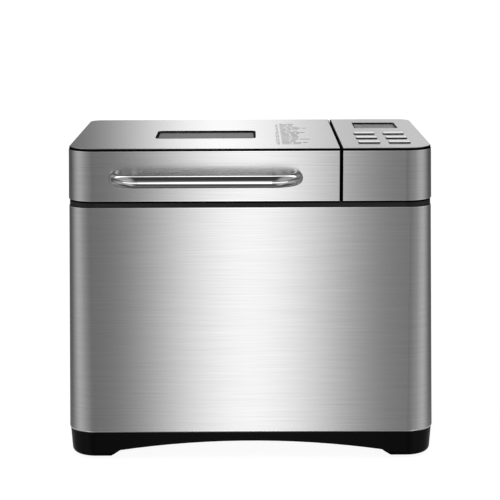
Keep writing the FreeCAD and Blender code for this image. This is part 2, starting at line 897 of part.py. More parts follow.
def top_frame():
    body = new_body("top_frame")
    drafted_solid(body, body_half, BODY_TOP, DECK_TOP, "deck_inset")
    lip = new_sketch(body, "XY_Plane", f"{BODY_TOP} - deck_lip")
    lip_inset = "skin + panel_thickness + lip_gap"
    outline_at(lip, body_half, BODY_TOP, lip_inset)
    pad(body, lip, "deck_lip + deck_thickness / 2")
    inner = new_sketch(body, "XY_Plane", f"{BODY_TOP} - deck_lip")
    outline_at(inner, body_half, BODY_TOP, f"{lip_inset} + wall")
    pocket(body, inner, "deck_lip", reverse=True)
    mouth_x = "chamber_length / 2 + chamber_wall + 2 * fit_gap"
    mouth_y = "(chamber_depth / 2 + chamber_wall + 2 * fit_gap)"
    hollow(
        body,
        f"chamber_x - ({mouth_x})",
        f"chamber_x + {mouth_x}",
        f"-{mouth_y}",
        mouth_y,
        f"({BODY_TOP} - deck_lip)",
        f"({DECK_TOP} + {PAST})",
        "chamber_radius + chamber_wall",
    )
    hollow(
        body,
        "control_left + cable_margin",
        "control_left + cable_margin + cable_opening",
        "-chamber_depth / 2",
        "chamber_depth / 2",
        f"({BODY_TOP} - deck_lip)",
        f"({DECK_TOP} + {PAST})",
        "corner_radius / 2",
    )
    for place in ("hinge_left", "hinge_right"):
        stem = new_sketch(body, "YZ_Plane", f"{place} - tower_width / 2")
        rectangle(
            stem,
            "hinge_y - knuckle_diameter / 2",
            "hinge_y + knuckle_diameter / 2",
            f"{DECK_TOP} - deck_thickness / 2",
            "hinge_level",
        )
        pad(body, stem, "tower_width")
        knuckle = new_sketch(body, "YZ_Plane", f"{place} - tower_width / 2")
        circle(knuckle, "knuckle_diameter", "hinge_y", "hinge_level")
        pad(body, knuckle, "tower_width")
        bore = new_sketch(body, "YZ_Plane", f"{place} - tower_width")
        circle(bore, "pin_diameter + 2 * running_gap", "hinge_y", "hinge_level")
        pocket(body, bore, "2 * tower_width", reverse=True)
    return finish(body, "top_frame")


def hinge_pins():
    pins = []
    for place in ("hinge_left", "hinge_right"):
        start = f"{place} - tower_width / 2"
        length = "tower_width + hinge_gap + knuckle_width"
        pins.append(rod("pin_diameter", length, start, "hinge_y", "hinge_level", ALONG_X))
    return finish(group(pins), "hinge_pins")


# Oven chamber and its fittings, drawn round the drive axis


def chamber_block(body, add, margin, low, high):
    half_x = f"(chamber_length / 2 + {margin})"
    half_y = f"(chamber_depth / 2 + {margin})"
    return add(body, f"-{half_x}", half_x, f"-{half_y}", half_y, low, high, f"chamber_radius + {margin}")


def oven_chamber():
    body = new_body("oven_chamber")
    flange_top = f"({DECK_TOP} + chamber_flange_thickness)"
    chamber_block(body, block, "chamber_wall", "chamber_floor", flange_top)
    chamber_block(body, block, "(chamber_wall + chamber_flange)", DECK_TOP, flange_top)
    chamber_block(body, hollow, "0", CHAMBER_INSIDE, f"({flange_top} + {PAST})")
    drill_up(body, "shaft_opening", f"chamber_floor - {PAST}", f"{CHAMBER_INSIDE} + {PAST}", [("0", "0")])
    openings = new_sketch(body, "YZ_Plane")
    for sign in ("-", ""):
        circle(openings, "element_diameter + element_clearance", f"{sign}terminal_y", "element_level")
    circle(openings, "sensor_diameter + sensor_clearance", "sensor_y", "sensor_level")
    pocket(body, openings, reverse=True)
    return finish(body, "oven_chamber", x="chamber_x")


def heating_element():
    half_x = "element_length / 2"
    half_y = "element_depth / 2"
    end = "chamber_length / 2 + terminal_reach"
    points = [
        (end, "-terminal_y"),
        (half_x, "-terminal_y"),
        (half_x, f"-{half_y}"),
        (f"-{half_x}", f"-{half_y}"),
        (f"-{half_x}", half_y),
        (half_x, half_y),
        (half_x, "terminal_y"),
        (end, "terminal_y"),
    ]
    body = bent_rod("heating_element", "element_level", points, "element_bend", "element_diameter")
    return finish(body, "heating_element", x="chamber_x")


def element_brackets():
    top = "element_level - element_diameter / 2 - running_gap"
    half = "bracket_width / 2"
    rear = "element_depth / 2"
    side = "element_length / 2"
    posts = [
        box(f"-{side} - {half}", f"-{side} + {half}", f"-{half}", half, CHAMBER_INSIDE, top),
        box(f"-{half}", half, f"{rear} - {half}", f"{rear} + {half}", CHAMBER_INSIDE, top),
        box(f"-{half}", half, f"-{rear} - {half}", f"-{rear} + {half}", CHAMBER_INSIDE, top),
    ]
    return finish(group(posts), "element_brackets", x="chamber_x")


def temperature_sensor():
    wall = "chamber_length / 2"
    start = f"{wall} - sensor_reach"
    length = "sensor_reach + sensor_tail"
    probe = rod("sensor_diameter", length, start, "sensor_y", "sensor_level", ALONG_X)
    flange_x = f"{wall} + chamber_wall + fit_gap"
    flange = rod("2 * sensor_diameter", "sensor_flange", flange_x, "sensor_y", "sensor_level", ALONG_X)
    return finish(fuse(probe, flange), "temperature_sensor", x="chamber_x")


def pan_seat():
    low = CHAMBER_INSIDE
    high = f"{CHAMBER_INSIDE} + seat_height"
    ledge = f"{CHAMBER_INSIDE} + seat_ledge"
    inner = "ring_bore / 2"
    profile = [
        (inner, low),
        ("seat_diameter / 2", low),
        ("seat_diameter / 2", high),
        ("seat_bore / 2", high),
        ("seat_bore / 2", ledge),
        (inner, ledge),
    ]
    return finish(turned("pan_seat", profile), "pan_seat", x="chamber_x")


def pan_clips():
    clips = []
    for sign in ("-", ""):
        body = new_body("pan_clip")
        profile = new_sketch(body, "XZ_Plane")
        outer = "(seat_diameter / 2 + clip_gap)"
        toe = f"({outer} + clip_toe)"
        tip = "(ring_diameter / 2 + clip_tip_gap)"
        low = CHAMBER_INSIDE
        high = f"{CHAMBER_INSIDE} + clip_height"
        outline = [
            (outer, low),
            (toe, low),
            (toe, f"{low} + clip_thickness"),
            (f"({outer} + clip_thickness)", f"{low} + clip_thickness"),
            (f"({outer} + clip_thickness)", high),
            (tip, high),
            (tip, f"{high} - clip_thickness"),
            (outer, f"{high} - clip_thickness"),
        ]
        polygon(profile, [(f"{sign}{x}", z) for x, z in outline])
        pad(body, profile, "clip_width", midplane=True)
        clips.append(body)
    return finish(group(clips), "pan_clips", x="chamber_x")


# Bread pan, drawn round the drive axis


def pan_form(name, margin, low, high):
    """A drafted, round-bottomed block with the pan's outline and a margin all round."""
    body = new_body(name)
    sketch = new_sketch(body, "XY_Plane", low)
    half_x = f"(pan_length / 2 + {margin})"
    half_y = f"(pan_depth / 2 + {margin})"
    rounded_rectangle(sketch, f"-{half_x}", half_x, f"-{half_y}", half_y, f"pan_radius + {margin}")
    pad(body, sketch, f"{high} - {low}", taper="pan_draft")
    round_edges(body, f"pan_rounding + {margin}", edge_lies_at(low))
    return body


def bread_pan():
    outer = pan_form("pan_outside", "pan_wall", "pan_bottom", PAN_RIM)
    rim = f"({PAN_SPREAD} + pan_wall + rim_width)"
    block(
        outer,
        f"-(pan_length / 2 + {rim})",
        f"pan_length / 2 + {rim}",
        f"-(pan_depth / 2 + {rim})",
        f"pan_depth / 2 + {rim}",
        f"({PAN_RIM} - pan_wall)",
        PAN_RIM,
        f"pan_radius + {rim}",
    )
    bore = "bearing_diameter + 2 * fit_gap"
    drill_up(outer, bore, f"pan_bottom - {PAST}", f"{PAN_FLOOR} + {PAST}", [("0", "0")])
    inner = pan_form("pan_inside", "0", PAN_FLOOR, f"({PAN_RIM} + {PAST})")
    return finish(cut(outer, inner), "bread_pan", x="chamber_x")


def pan_foot_ring():
    profile = [
        ("ring_bore / 2", "ring_bottom"),
        ("ring_diameter / 2", "ring_bottom"),
        ("ring_diameter / 2", "pan_bottom"),
        ("ring_bore / 2", "pan_bottom"),
    ]
    return finish(turned("pan_foot_ring", profile), "pan_foot_ring", x="chamber_x")


EAR_FACE = f"(pan_length / 2 + {PAN_SPREAD} + pan_wall + ear_gap)"


def pan_ears():
    ears = []
    inner = EAR_FACE
    outer = f"({inner} + ear_thickness)"
    top = "bail_level + ear_width / 2"
    for sign in ("-", ""):
        body = new_body("pan_ear")
        foot = new_sketch(body, "XZ_Plane")
        outline = [
            (f"({inner} - ear_foot)", PAN_RIM),
            (outer, PAN_RIM),
            (outer, top),
            (inner, top),
            (inner, f"{PAN_RIM} + ear_thickness"),
            (f"({inner} - ear_foot)", f"{PAN_RIM} + ear_thickness"),
        ]
        polygon(foot, [(f"{sign}{x}", z) for x, z in outline])
        pad(body, foot, "ear_width", midplane=True)
        top_level = value(top)
        round_edges(
            body,
            "ear_width / 2 - ear_gap",
            lambda edge: edge.BoundBox.ZMin > top_level - SLACK and edge.BoundBox.YLength < SLACK,
        )
        hole = new_sketch(body, "YZ_Plane")
        circle(hole, "ear_hole", "0", "bail_level")
        pocket(body, hole, midplane=True)
        ears.append(body)
    return finish(group(ears), "pan_ears", x="chamber_x")


def pan_bail():
    end = f"({EAR_FACE} - ear_foot)"
    leg = f"({EAR_FACE} + ear_thickness + bail_overhang + bail_diameter / 2)"
    points = [
        (f"-{end}", "0"),
        (f"-{leg}", "0"),
        (f"-{leg}", "-bail_leg"),
        (leg, "-bail_leg"),
        (leg, "0"),
        (end, "0"),
    ]
    body = bent_rod("pan_bail", "bail_level", points, "bail_bend", "bail_diameter")
    return finish(body, "pan_bail", x="chamber_x")


def pan_bearing():
    flange_low = "pan_bottom - bearing_flange_height"
    boss_low = "dog_bottom + dog_height + dog_gap"
    boss = "bearing_diameter / 2 + bearing_flange_height"
    top = f"{PAN_FLOOR} + bearing_rise"
    bore = "pan_shaft_diameter / 2 + running_gap"
    profile = [
        (bore, boss_low),
        (boss, boss_low),
        (boss, flange_low),
        ("bearing_flange / 2", flange_low),
        ("bearing_flange / 2", "pan_bottom"),
        ("bearing_diameter / 2", "pan_bottom"),
        ("bearing_diameter / 2", top),
        (bore, top),
    ]
    return finish(turned("pan_bearing", profile), "pan_bearing", x="chamber_x")


def pan_shaft_seal():
    low = f"{PAN_FLOOR} + bearing_rise"
    high = f"{low} + shaft_seal_height"
    bore = "pan_shaft_diameter / 2 + running_gap"
    profile = [
        (bore, low),
        ("bearing_diameter / 2", low),
        ("bearing_diameter / 2 - shaft_seal_taper", high),
        (bore, high),
    ]
    return finish(turned("pan_shaft_seal", profile), "pan_shaft_seal", x="chamber_x")


def pan_shaft():
    body = turned(
        "pan_shaft",
        [
            ("0", "dog_bottom - shaft_chamfer"),
            ("pan_shaft_diameter / 2", "dog_bottom - shaft_chamfer"),
            ("pan_shaft_diameter / 2", "pan_shaft_top - shaft_chamfer"),
            ("pan_shaft_diameter / 2 - shaft_chamfer", "pan_shaft_top"),
            ("0", "pan_shaft_top"),
        ],
    )
    hollow(
        body,
        "pan_shaft_diameter / 2 - pan_shaft_flat",
        "pan_shaft_diameter",
        "-pan_shaft_diameter",
        "pan_shaft_diameter",
        "(paddle_bottom + shaft_chamfer)",
        f"(pan_shaft_top + {PAST})",
    )
    return finish(body, "pan_shaft", x="chamber_x")


def drive_dog():
    body = new_body("drive_dog")
    high = "(dog_bottom + dog_height)"
    block(
        body,
        "-dog_length / 2",
        "dog_length / 2",
        "-dog_width / 2",
        "dog_width / 2",
        "dog_bottom",
        high,
        "dog_width / 3",
    )
    hub = new_sketch(body, "XY_Plane", "dog_bottom")
    circle(hub, "2 * pan_shaft_diameter")
    pad(body, hub, "dog_height")
    bore = "pan_shaft_diameter + 2 * press_gap"
    drill_up(body, bore, f"dog_bottom - {PAST}", f"{high} + {PAST}", [("0", "0")])
    return finish(body, "drive_dog", x="chamber_x")


def kneading_paddle():
    body = new_body("kneading_paddle")
    hub = new_sketch(body, "XY_Plane", "paddle_bottom")
    circle(hub, "paddle_hub")
    pad(body, hub, "paddle_hub_height")
    blade = new_sketch(body, "XZ_Plane")
    low = "paddle_bottom + paddle_lift"
    shoulder = "paddle_reach * paddle_shoulder"
    points = [
        ("0", low),
        ("paddle_reach", low),
        ("paddle_reach", f"{low} + paddle_height / 3"),
        (shoulder, f"{low} + paddle_height"),
        ("0", f"{low} + paddle_height * 2 / 3"),
    ]
    polygon(blade, points)
    pad(body, blade, "paddle_thickness", midplane=True)
    blade_starts = value(shoulder) - SLACK
    round_edges(
        body,
        "paddle_rounding",
        lambda edge: edge.BoundBox.YLength < SLACK and edge.BoundBox.XMax > blade_starts,
    )
    low_bore = f"paddle_bottom - {PAST}"
    high_bore = f"pan_shaft_top + {PAST}"
    drill_up(body, "pan_shaft_diameter + 2 * running_gap", low_bore, high_bore, [("0", "0")])
    return finish(body, "kneading_paddle", x="chamber_x")


# Drive under the chamber


def chassis_plate():
    body = new_body("chassis_plate")
    block(
        body,
        "chassis_left",
        "chassis_right",
        "-chassis_depth / 2",
        "chassis_depth / 2",
        "chassis_level",
        CHASSIS_TOP,
        "corner_radius / 2",
    )
    low = f"chassis_level - {PAST}"
    high = f"{CHASSIS_TOP} + {PAST}"
    drill_up(body, "bearing_tube + fit_gap", low, high, [("chamber_x", "0")])
    drill_up(body, "2 * motor_pulley_diameter", low, high, [("motor_x", "motor_y")])
    drill_up(body, "screw_hole", low, high, at_corners("post_x", "post_y") + motor_screw_places())
    return finish(body, "chassis_plate")


def motor_screw_places():
    reach = "motor_screw_circle / 2 * sqrt(0.5)"
    return [
        (f"motor_x {sign_x} {reach}", f"motor_y {sign_y} {reach}")
        for sign_x in ("-", "+")
        for sign_y in ("-", "+")
    ]


def chassis_screws():
    """Pan-head screws that hold the plate to its posts and the motor to the plate."""
    seats = [(x, y, CHASSIS_TOP) for x, y in at_corners("post_x", "post_y")]
    seats += [(x, y, f"{CHASSIS_TOP} + motor_foot") for x, y in motor_screw_places()]
    screws = []
    for x, y, seat in seats:
        head = rod("screw_head", "screw_head_height", x, y, seat)
        shank_low = f"{seat} - screw_length + screw_tip_gap"
        shank = rod("screw_diameter", "screw_length", x, y, shank_low)
        screws.append(fuse(head, shank))
    return finish(group(screws), "chassis_screws")


def main_bearing():
    bore = "shaft_diameter / 2 + running_gap"
    tube = "bearing_tube / 2"
    low = "pulley_bottom + pulley_width + bearing_gap"
    high = "chamber_floor - bearing_headroom"
    profile = [
        (bore, low),
        (tube, low),
        (tube, CHASSIS_TOP),
        ("bearing_flange", CHASSIS_TOP),
        ("bearing_flange", f"{CHASSIS_TOP} + bearing_foot_height"),
        (tube, f"{CHASSIS_TOP} + 2 * bearing_foot_height"),
        (tube, high),
        (bore, high),
    ]
    return finish(turned("main_bearing", profile), "main_bearing", x="chamber_x")


def drive_shaft():
    profile = [
        ("0", "shaft_bottom"),
        ("shaft_diameter / 2 - shaft_chamfer", "shaft_bottom"),
        ("shaft_diameter / 2", "shaft_bottom + shaft_chamfer"),
        ("shaft_diameter / 2", "cup_bottom + cup_socket"),
        ("0", "cup_bottom + cup_socket"),
    ]
    return finish(turned("drive_shaft", profile), "drive_shaft", x="chamber_x")


def drive_cup():
    neck_low = "chamber_floor - cup_floor"
    blind = "cup_bottom + cup_socket"
    floor_top = "cup_bottom + cup_floor"
    bore = "shaft_diameter / 2 + press_gap"
    body = turned(
        "drive_cup",
        [
            (bore, neck_low),
            ("cup_hub / 2", neck_low),
            ("cup_hub / 2", "cup_bottom"),
            ("cup_diameter / 2", "cup_bottom"),
            ("cup_diameter / 2", floor_top),
            ("0", floor_top),
            ("0", blind),
            (bore, blind),
        ],
    )
    for sign in ("-", ""):
        sketch = new_sketch(body, "XY_Plane", floor_top)
        middle = f"{sign}(cup_diameter / 2 - lug_width / 2 - lug_margin)"
        rounded_rectangle(
            sketch,
            "-lug_width / 2",
            "lug_width / 2",
            f"{middle} - lug_width / 2",
            f"{middle} + lug_width / 2",
            "lug_width / 4",
        )
        pad(body, sketch, "lug_height")
    return finish(body, "drive_cup", x="chamber_x")


def pulley_profile(diameter, hub, bore):
    """Half section of a flanged belt pulley with a web."""
    low = "pulley_bottom"
    high = "pulley_bottom + pulley_width"
    rim = f"{diameter} / 2 - pulley_rim"
    web_low = "pulley_bottom + pulley_width / 2 - pulley_web / 2"
    web_high = "pulley_bottom + pulley_width / 2 + pulley_web / 2"
    return [
        (bore, low),
        (hub, low),
        (hub, web_low),
        (rim, web_low),
        (rim, low),
        (f"{diameter} / 2 + pulley_flange", low),
        (f"{diameter} / 2 + pulley_flange", f"{low} + pulley_lip"),
        (f"{diameter} / 2", f"{low} + pulley_lip + pulley_slope"),
        (f"{diameter} / 2", f"{high} - pulley_lip - pulley_slope"),
        (f"{diameter} / 2 + pulley_flange", f"{high} - pulley_lip"),
        (f"{diameter} / 2 + pulley_flange", high),
        (rim, high),
        (rim, web_high),
        (hub, web_high),
        (hub, high),
        (bore, high),
    ]


def large_pulley():
    bore = "shaft_diameter / 2 + press_gap"
    body = turned("large_pulley", pulley_profile("pulley_diameter", "pulley_hub / 2", bore))
    sketch = new_sketch(body, "XY_Plane", "pulley_bottom")
    circle(sketch, "pulley_hole", "(pulley_diameter / 2 - pulley_rim + pulley_hub / 2) / 2")
    hole = pocket(body, sketch, "pulley_width", reverse=True)
    ring = body.newObject("PartDesign::PolarPattern", "ring_of_holes")
    ring.Originals = [hole]
    ring.Axis = (sketch, ["N_Axis"])
    ring.Angle = 360
    ring.Occurrences = 6
    body.Tip = ring
    return finish(body, "large_pulley", x="chamber_x")


def motor():
    bore = "motor_shaft_diameter / 2 + running_gap"
    inside = "motor_diameter / 2 - motor_shell"
    high = f"({CHASSIS_TOP} + motor_height)"
    shoulder = f"({high} - motor_boss)"
    profile = [
        (bore, CHASSIS_TOP),
        ("motor_flange / 2", CHASSIS_TOP),
        ("motor_flange / 2", f"{CHASSIS_TOP} + motor_foot"),
        ("motor_diameter / 2", f"{CHASSIS_TOP} + motor_foot"),
        ("motor_diameter / 2", f"{shoulder} - motor_shoulder"),
        ("motor_diameter / 2 - motor_shoulder", shoulder),
        ("motor_shaft_diameter + motor_boss", shoulder),
        ("motor_shaft_diameter + motor_boss", high),
        (bore, high),
        (bore, f"{shoulder} - motor_shell"),
        (inside, f"{shoulder} - motor_shoulder - motor_shell"),
        (inside, f"{CHASSIS_TOP} + motor_shell"),
        (bore, f"{CHASSIS_TOP} + motor_shell"),
    ]
    body = turned("motor", profile)
    reach = "motor_screw_circle / 2 * sqrt(0.5)"
    places = [(f"{sign_x}{reach}", f"{sign_y}{reach}") for sign_x in ("-", "") for sign_y in ("-", "")]
    drill_up(body, "screw_hole", CHASSIS_TOP, f"{CHASSIS_TOP} + motor_foot + {PAST}", places)
    return finish(body, "motor", x="motor_x", y="motor_y")


def motor_shaft():
    top = f"{CHASSIS_TOP} + motor_height + 2 * fan_gap + fan_height"
    profile = [
        ("0", "pulley_bottom - shaft_chamfer"),
        ("motor_shaft_diameter / 2", "pulley_bottom - shaft_chamfer"),
        ("motor_shaft_diameter / 2", top),
        ("0", top),
    ]
    return finish(turned("motor_shaft", profile), "motor_shaft", x="motor_x", y="motor_y")


def motor_pulley():
    bore = "motor_shaft_diameter / 2 + press_gap"
    low = "pulley_bottom"
    high = "pulley_bottom + pulley_width"
    groove = "motor_pulley_diameter / 2"
    flange = f"{groove} + pulley_flange"
    profile = [
        (bore, low),
        (flange, low),
        (flange, f"{low} + pulley_lip"),
        (groove, f"{low} + pulley_lip + pulley_slope"),
        (groove, f"{high} - pulley_lip - pulley_slope"),
        (flange, f"{high} - pulley_lip"),
        (flange, high),
        (bore, high),
    ]
    return finish(turned("motor_pulley", profile), "motor_pulley", x="motor_x", y="motor_y")


def motor_fan():
    low = f"({CHASSIS_TOP} + motor_height + fan_gap)"
    bore = "motor_shaft_diameter / 2 + press_gap"
    profile = [
        (bore, low),
        ("fan_diameter / 2", low),
        ("fan_diameter / 2", f"{low} + fan_disc"),
        ("motor_shaft_diameter", f"{low} + fan_disc"),
        ("motor_shaft_diameter", f"{low} + fan_height"),
        (bore, f"{low} + fan_height"),
    ]
    body = turned("motor_fan", profile)
    sketch = new_sketch(body, "XY_Plane", f"{low} + fan_disc / 2")
    root = "motor_shaft_diameter - fan_blade / 2"
    tip = "fan_diameter / 2 - fan_blade / 2"
    rectangle(sketch, root, tip, "-fan_blade / 2", "fan_blade / 2")
    blade = pad(body, sketch, "fan_height - fan_disc / 2")
    ring = body.newObject("PartDesign::PolarPattern", "ring_of_blades")
    ring.Originals = [blade]
    ring.Axis = (sketch, ["N_Axis"])
    ring.Angle = 360
    ring.Occurrences = 9
    body.Tip = ring
    return finish(body, "motor_fan", x="motor_x", y="motor_y")


def belt_loop(sketch, large, small):
    """The outline of an open belt: two arcs and the two runs that touch both."""
    span = Vector(value("motor_x - chamber_x"), value("motor_y"), 0)
    radii = (value(large), value(small))
    lean = math.acos((radii[0] - radii[1]) / span.Length)
    heading = math.atan2(span.y, span.x)
    centres = (Vector(), span)
    starts = (heading + lean, heading - lean)
    arcs = []
    for centre, radius, first, last in (
        (centres[0], radii[0], starts[0], starts[1] + 2 * math.pi),
        (centres[1], radii[1], starts[1], starts[0]),
    ):
        whole = Part.Circle(centre, Vector(0, 0, 1), radius)
        arcs.append(sketch.addGeometry(Part.ArcOfCircle(whole, first, last), False))
    ends = [(sketch.getPoint(arc, START), sketch.getPoint(arc, END)) for arc in arcs]
    lower = sketch.addGeometry(Part.LineSegment(ends[0][1], ends[1][0]), False)
    upper = sketch.addGeometry(Part.LineSegment(ends[1][1], ends[0][0]), False)
    sketch.addConstraint(Sketcher.Constraint("Tangent", arcs[0], END, lower, START))
    sketch.addConstraint(Sketcher.Constraint("Tangent", lower, END, arcs[1], START))
    sketch.addConstraint(Sketcher.Constraint("Tangent", arcs[1], END, upper, START))
    sketch.addConstraint(Sketcher.Constraint("Tangent", upper, END, arcs[0], START))
    for arc, radius, x, y in (
        (arcs[0], large, "0", "0"),
        (arcs[1], small, "motor_x - chamber_x", "motor_y"),
    ):
        dimension(sketch, Sketcher.Constraint("Radius", arc, value(radius)), radius)
        hold(sketch, "DistanceX", arc, CENTRE, x)
        hold(sketch, "DistanceY", arc, CENTRE, y)


def drive_belt():
    body = new_body("drive_belt")
    low = "pulley_bottom + belt_margin"
    width = "pulley_width - 2 * belt_margin"
    outer = new_sketch(body, "XY_Plane", low)
    thick = "belt_gap + belt_thickness"
    belt_loop(outer, f"pulley_diameter / 2 + {thick}", f"motor_pulley_diameter / 2 + {thick}")
    pad(body, outer, width)
    inner = new_sketch(body, "XY_Plane", low)
    belt_loop(inner, "pulley_diameter / 2 + belt_gap", "motor_pulley_diameter / 2 + belt_gap")
    pocket(body, inner, width, reverse=True)
    return finish(body, "drive_belt", x="chamber_x")


def motor_capacitor():
    can = rod("capacitor_diameter", "capacitor_height", "capacitor_x", "capacitor_y", CHASSIS_TOP)
    top = f"{CHASSIS_TOP} + capacitor_height"
    tags = []
    for sign in ("-", "+"):
        middle = f"capacitor_x {sign} tag_spread"
        tag = box(
            f"{middle} - tag_width / 2",
            f"{middle} + tag_width / 2",
            "capacitor_y - tag_thickness / 2",
            "capacitor_y + tag_thickness / 2",
            f"{top} - tag_thickness",
            f"{top} + tag_height",
        )
        tags.append(tag)
    return finish(fuse(can, *tags), "motor_capacitor")


def heat_shield():
    body = new_body("heat_shield")
    profile = new_sketch(body, "XZ_Plane")
    points = [
        ("shield_x", CHASSIS_TOP),
        ("shield_x + shield_foot", CHASSIS_TOP),
        ("shield_x + shield_foot", f"{CHASSIS_TOP} + skin"),
        ("shield_x + skin", f"{CHASSIS_TOP} + skin"),
        ("shield_x + skin", "shield_top"),
        ("shield_x", "shield_top"),
    ]
    polygon(profile, points)
    pad(body, profile, "2 * shield_half_depth", midplane=True)
    openings = new_sketch(body, "YZ_Plane")
    for sign in ("-", ""):
        circle(openings, "2 * element_diameter", f"{sign}terminal_y", "element_level")
    circle(openings, "3 * sensor_diameter", "sensor_y", "sensor_level")
    pocket(body, openings, reverse=True)
    posts = new_sketch(body, "YZ_Plane", "shield_x + skin / 2")
    for sign in ("-", ""):
        for level in ("board_bottom + board_margin", "board_top - board_margin"):
            circle(posts, "board_post", f"{sign}(board_half_depth - board_margin)", level)
    pad(body, posts, "board_x - shield_x - skin / 2")
    return finish(body, "heat_shield")


# Blocks on the power board: how far they stand out, front, rear, and their levels above its lower edge
BOARD_BLOCKS = [
    ("24", "-48", "-18", "14", "46"),
    ("16", "0", "19", "10", "26"),
    ("16", "26", "45", "10", "26"),
]
# Round capacitors on the power board: diameter, length and place across it
BOARD_CANS = [("13", "22", "12"), ("10", "18", "32")]
BOARD_CAN_LEVEL = "(board_bottom + 48)"


def power_board():
    face = "board_x + board_thickness"
    seat = f"{face} - board_thickness / 2"
    items = [box("board_x", face, "-board_half_depth", "board_half_depth", "board_bottom", "board_top")]
    for out, front, rear, low, high in BOARD_BLOCKS:
        levels = (f"board_bottom + {low}", f"board_bottom + {high}")
        items.append(box(seat, f"{face} + {out}", front, rear, *levels))
    for diameter, length, across in BOARD_CANS:
        items.append(rod(diameter, length, seat, across, BOARD_CAN_LEVEL, ALONG_X))
    return finish(fuse(*items), "power_board")


# Lid


def lid_skirt():
    body = new_body("lid_skirt")
    high = f"({SKIRT_TOP} - fit_gap)"
    drafted_solid(body, lid_half, LID_BOTTOM, high, "0")
    drafted_hollow(body, lid_half, f"({LID_BOTTOM} - {PAST})", f"({high} + {PAST})", "skin")
    cut_beyond(body, "right", "lid_skin_right")
    cut_hinge_notches(body)
    drill_handle_holes(body)
    return finish(body, "lid_skirt")


def cut_hinge_notches(body):
    """Room at the rear edge for the hinge towers and knuckles."""
    for place in ("hinge_left", "hinge_right"):
        hollow(
            body,
            f"({place} - tower_width / 2 - hinge_gap)",
            f"({place} + tower_width / 2 + 2 * hinge_gap + knuckle_width)",
            "hinge_y - knuckle_diameter",
            "lid_depth",
            f"({LID_BOTTOM} - {PAST})",
            "(hinge_level + knuckle_diameter / 2 + notch_headroom)",
        )


def drill_handle_holes(body):
    holes = new_sketch(body, "XZ_Plane")
    diameter = "handle_screw_diameter + 2 * fit_gap"
    for sign in ("-", "+"):
        circle(holes, diameter, f"handle_x {sign} handle_span / 2", "handle_level")
    pocket(body, holes, reverse=True)


def lid_frame():
    body = new_body("lid_frame")
    low = f"({LID_BOTTOM} + frame_clearance)"
    drafted_solid(body, lid_half, low, SKIRT_TOP, FRAME_INSET)
    drafted_solid(body, lid_half, SKIRT_TOP, PLATE_BOTTOM, "trim_inset")
    cut_beyond(body, "right", "lid_right")
    inside = new_sketch(body, "XY_Plane", low)
    left = lid_half("lid_width", low, f"{FRAME_INSET} + wall")
    along = lid_half("lid_depth", low, f"{FRAME_INSET} + wall")
    corners = corners_at(f"{FRAME_INSET} + wall")
    rounded_rectangle(inside, f"-{left}", "lid_right - wall", f"-{along}", along, *corners)
    pocket(body, inside, f"{TOP_WALL_BOTTOM} - {low}", taper="-draft", reverse=True)
    window_hole(body, "bezel_width + fit_gap", TOP_WALL_BOTTOM, "total_height")
    cut_hinge_notches(body)
    for place in ("hinge_left", "hinge_right"):
        start = f"{place} + tower_width / 2 + hinge_gap"
        web = new_sketch(body, "YZ_Plane", start)
        rectangle(
            web,
            "hinge_y - knuckle_diameter / 2",
            "hinge_y + skin",
            "hinge_level",
            "hinge_level + knuckle_diameter / 2 + web_height",
        )
        pad(body, web, "knuckle_width")
        knuckle = new_sketch(body, "YZ_Plane", start)
        circle(knuckle, "knuckle_diameter", "hinge_y", "hinge_level")
        pad(body, knuckle, "knuckle_width")
        bore = new_sketch(body, "YZ_Plane", start)
        circle(bore, "pin_diameter + 2 * running_gap", "hinge_y", "hinge_level")
        pocket(body, bore, "knuckle_width", reverse=True)
    drill_handle_holes(body)
    return finish(body, "lid_frame")


def window_hole(body, margin, low, high):
    return hollow(
        body,
        f"window_x - window_length / 2 - ({margin})",
        f"window_x + window_length / 2 + {margin}",
        f"window_y - window_depth / 2 - ({margin})",
        f"window_y + window_depth / 2 + {margin}",
        low,
        high,
        f"window_radius + {margin}",
    )


def window_block(body, margin, low, high):
    return block(
        body,
        f"window_x - window_length / 2 - ({margin})",
        f"window_x + window_length / 2 + {margin}",
        f"window_y - window_depth / 2 - ({margin})",
        f"window_y + window_depth / 2 + {margin}",
        low,
        high,
        f"window_radius + {margin}",
    )


def lid_top_plate():
    body = new_body("lid_top_plate")
    drafted_solid(body, lid_half, PLATE_BOTTOM, "total_height", "plate_inset")
    cut_beyond(body, "right", "lid_skin_right")
    window_hole(body, "bezel_width + fit_gap", f"({PLATE_BOTTOM} - {PAST})", f"(total_height + {PAST})")
    return finish(body, "lid_top_plate")


GLASS_TOP = "(total_height - window_recess)"
GLASS_BOTTOM = f"({GLASS_TOP} - pane_thickness)"
BEZEL_BOTTOM = f"({GLASS_BOTTOM} - bezel_floor)"


def window_bezel():
    body = new_body("window_bezel")
    window_block(body, "bezel_width", BEZEL_BOTTOM, "total_height")
    window_block(body, "(bezel_width + bezel_grip)", BEZEL_BOTTOM, f"({TOP_WALL_BOTTOM} - fit_gap)")
    window_hole(body, "0", GLASS_BOTTOM, f"(total_height + {PAST})")
    window_hole(body, "-bezel_ledge", f"({BEZEL_BOTTOM} - {PAST})", f"(total_height + {PAST})")
    return finish(body, "window_bezel")


def window_glass():
    body = new_body("window_glass")
    window_block(body, "-fit_gap", GLASS_BOTTOM, GLASS_TOP)
    return finish(body, "window_glass")


def inner_glass():
    body = new_body("inner_glass")
    window_block(body, "inner_pane_overlap", "liner_top", "(liner_top + inner_pane_thickness)")
    return finish(body, "inner_glass")


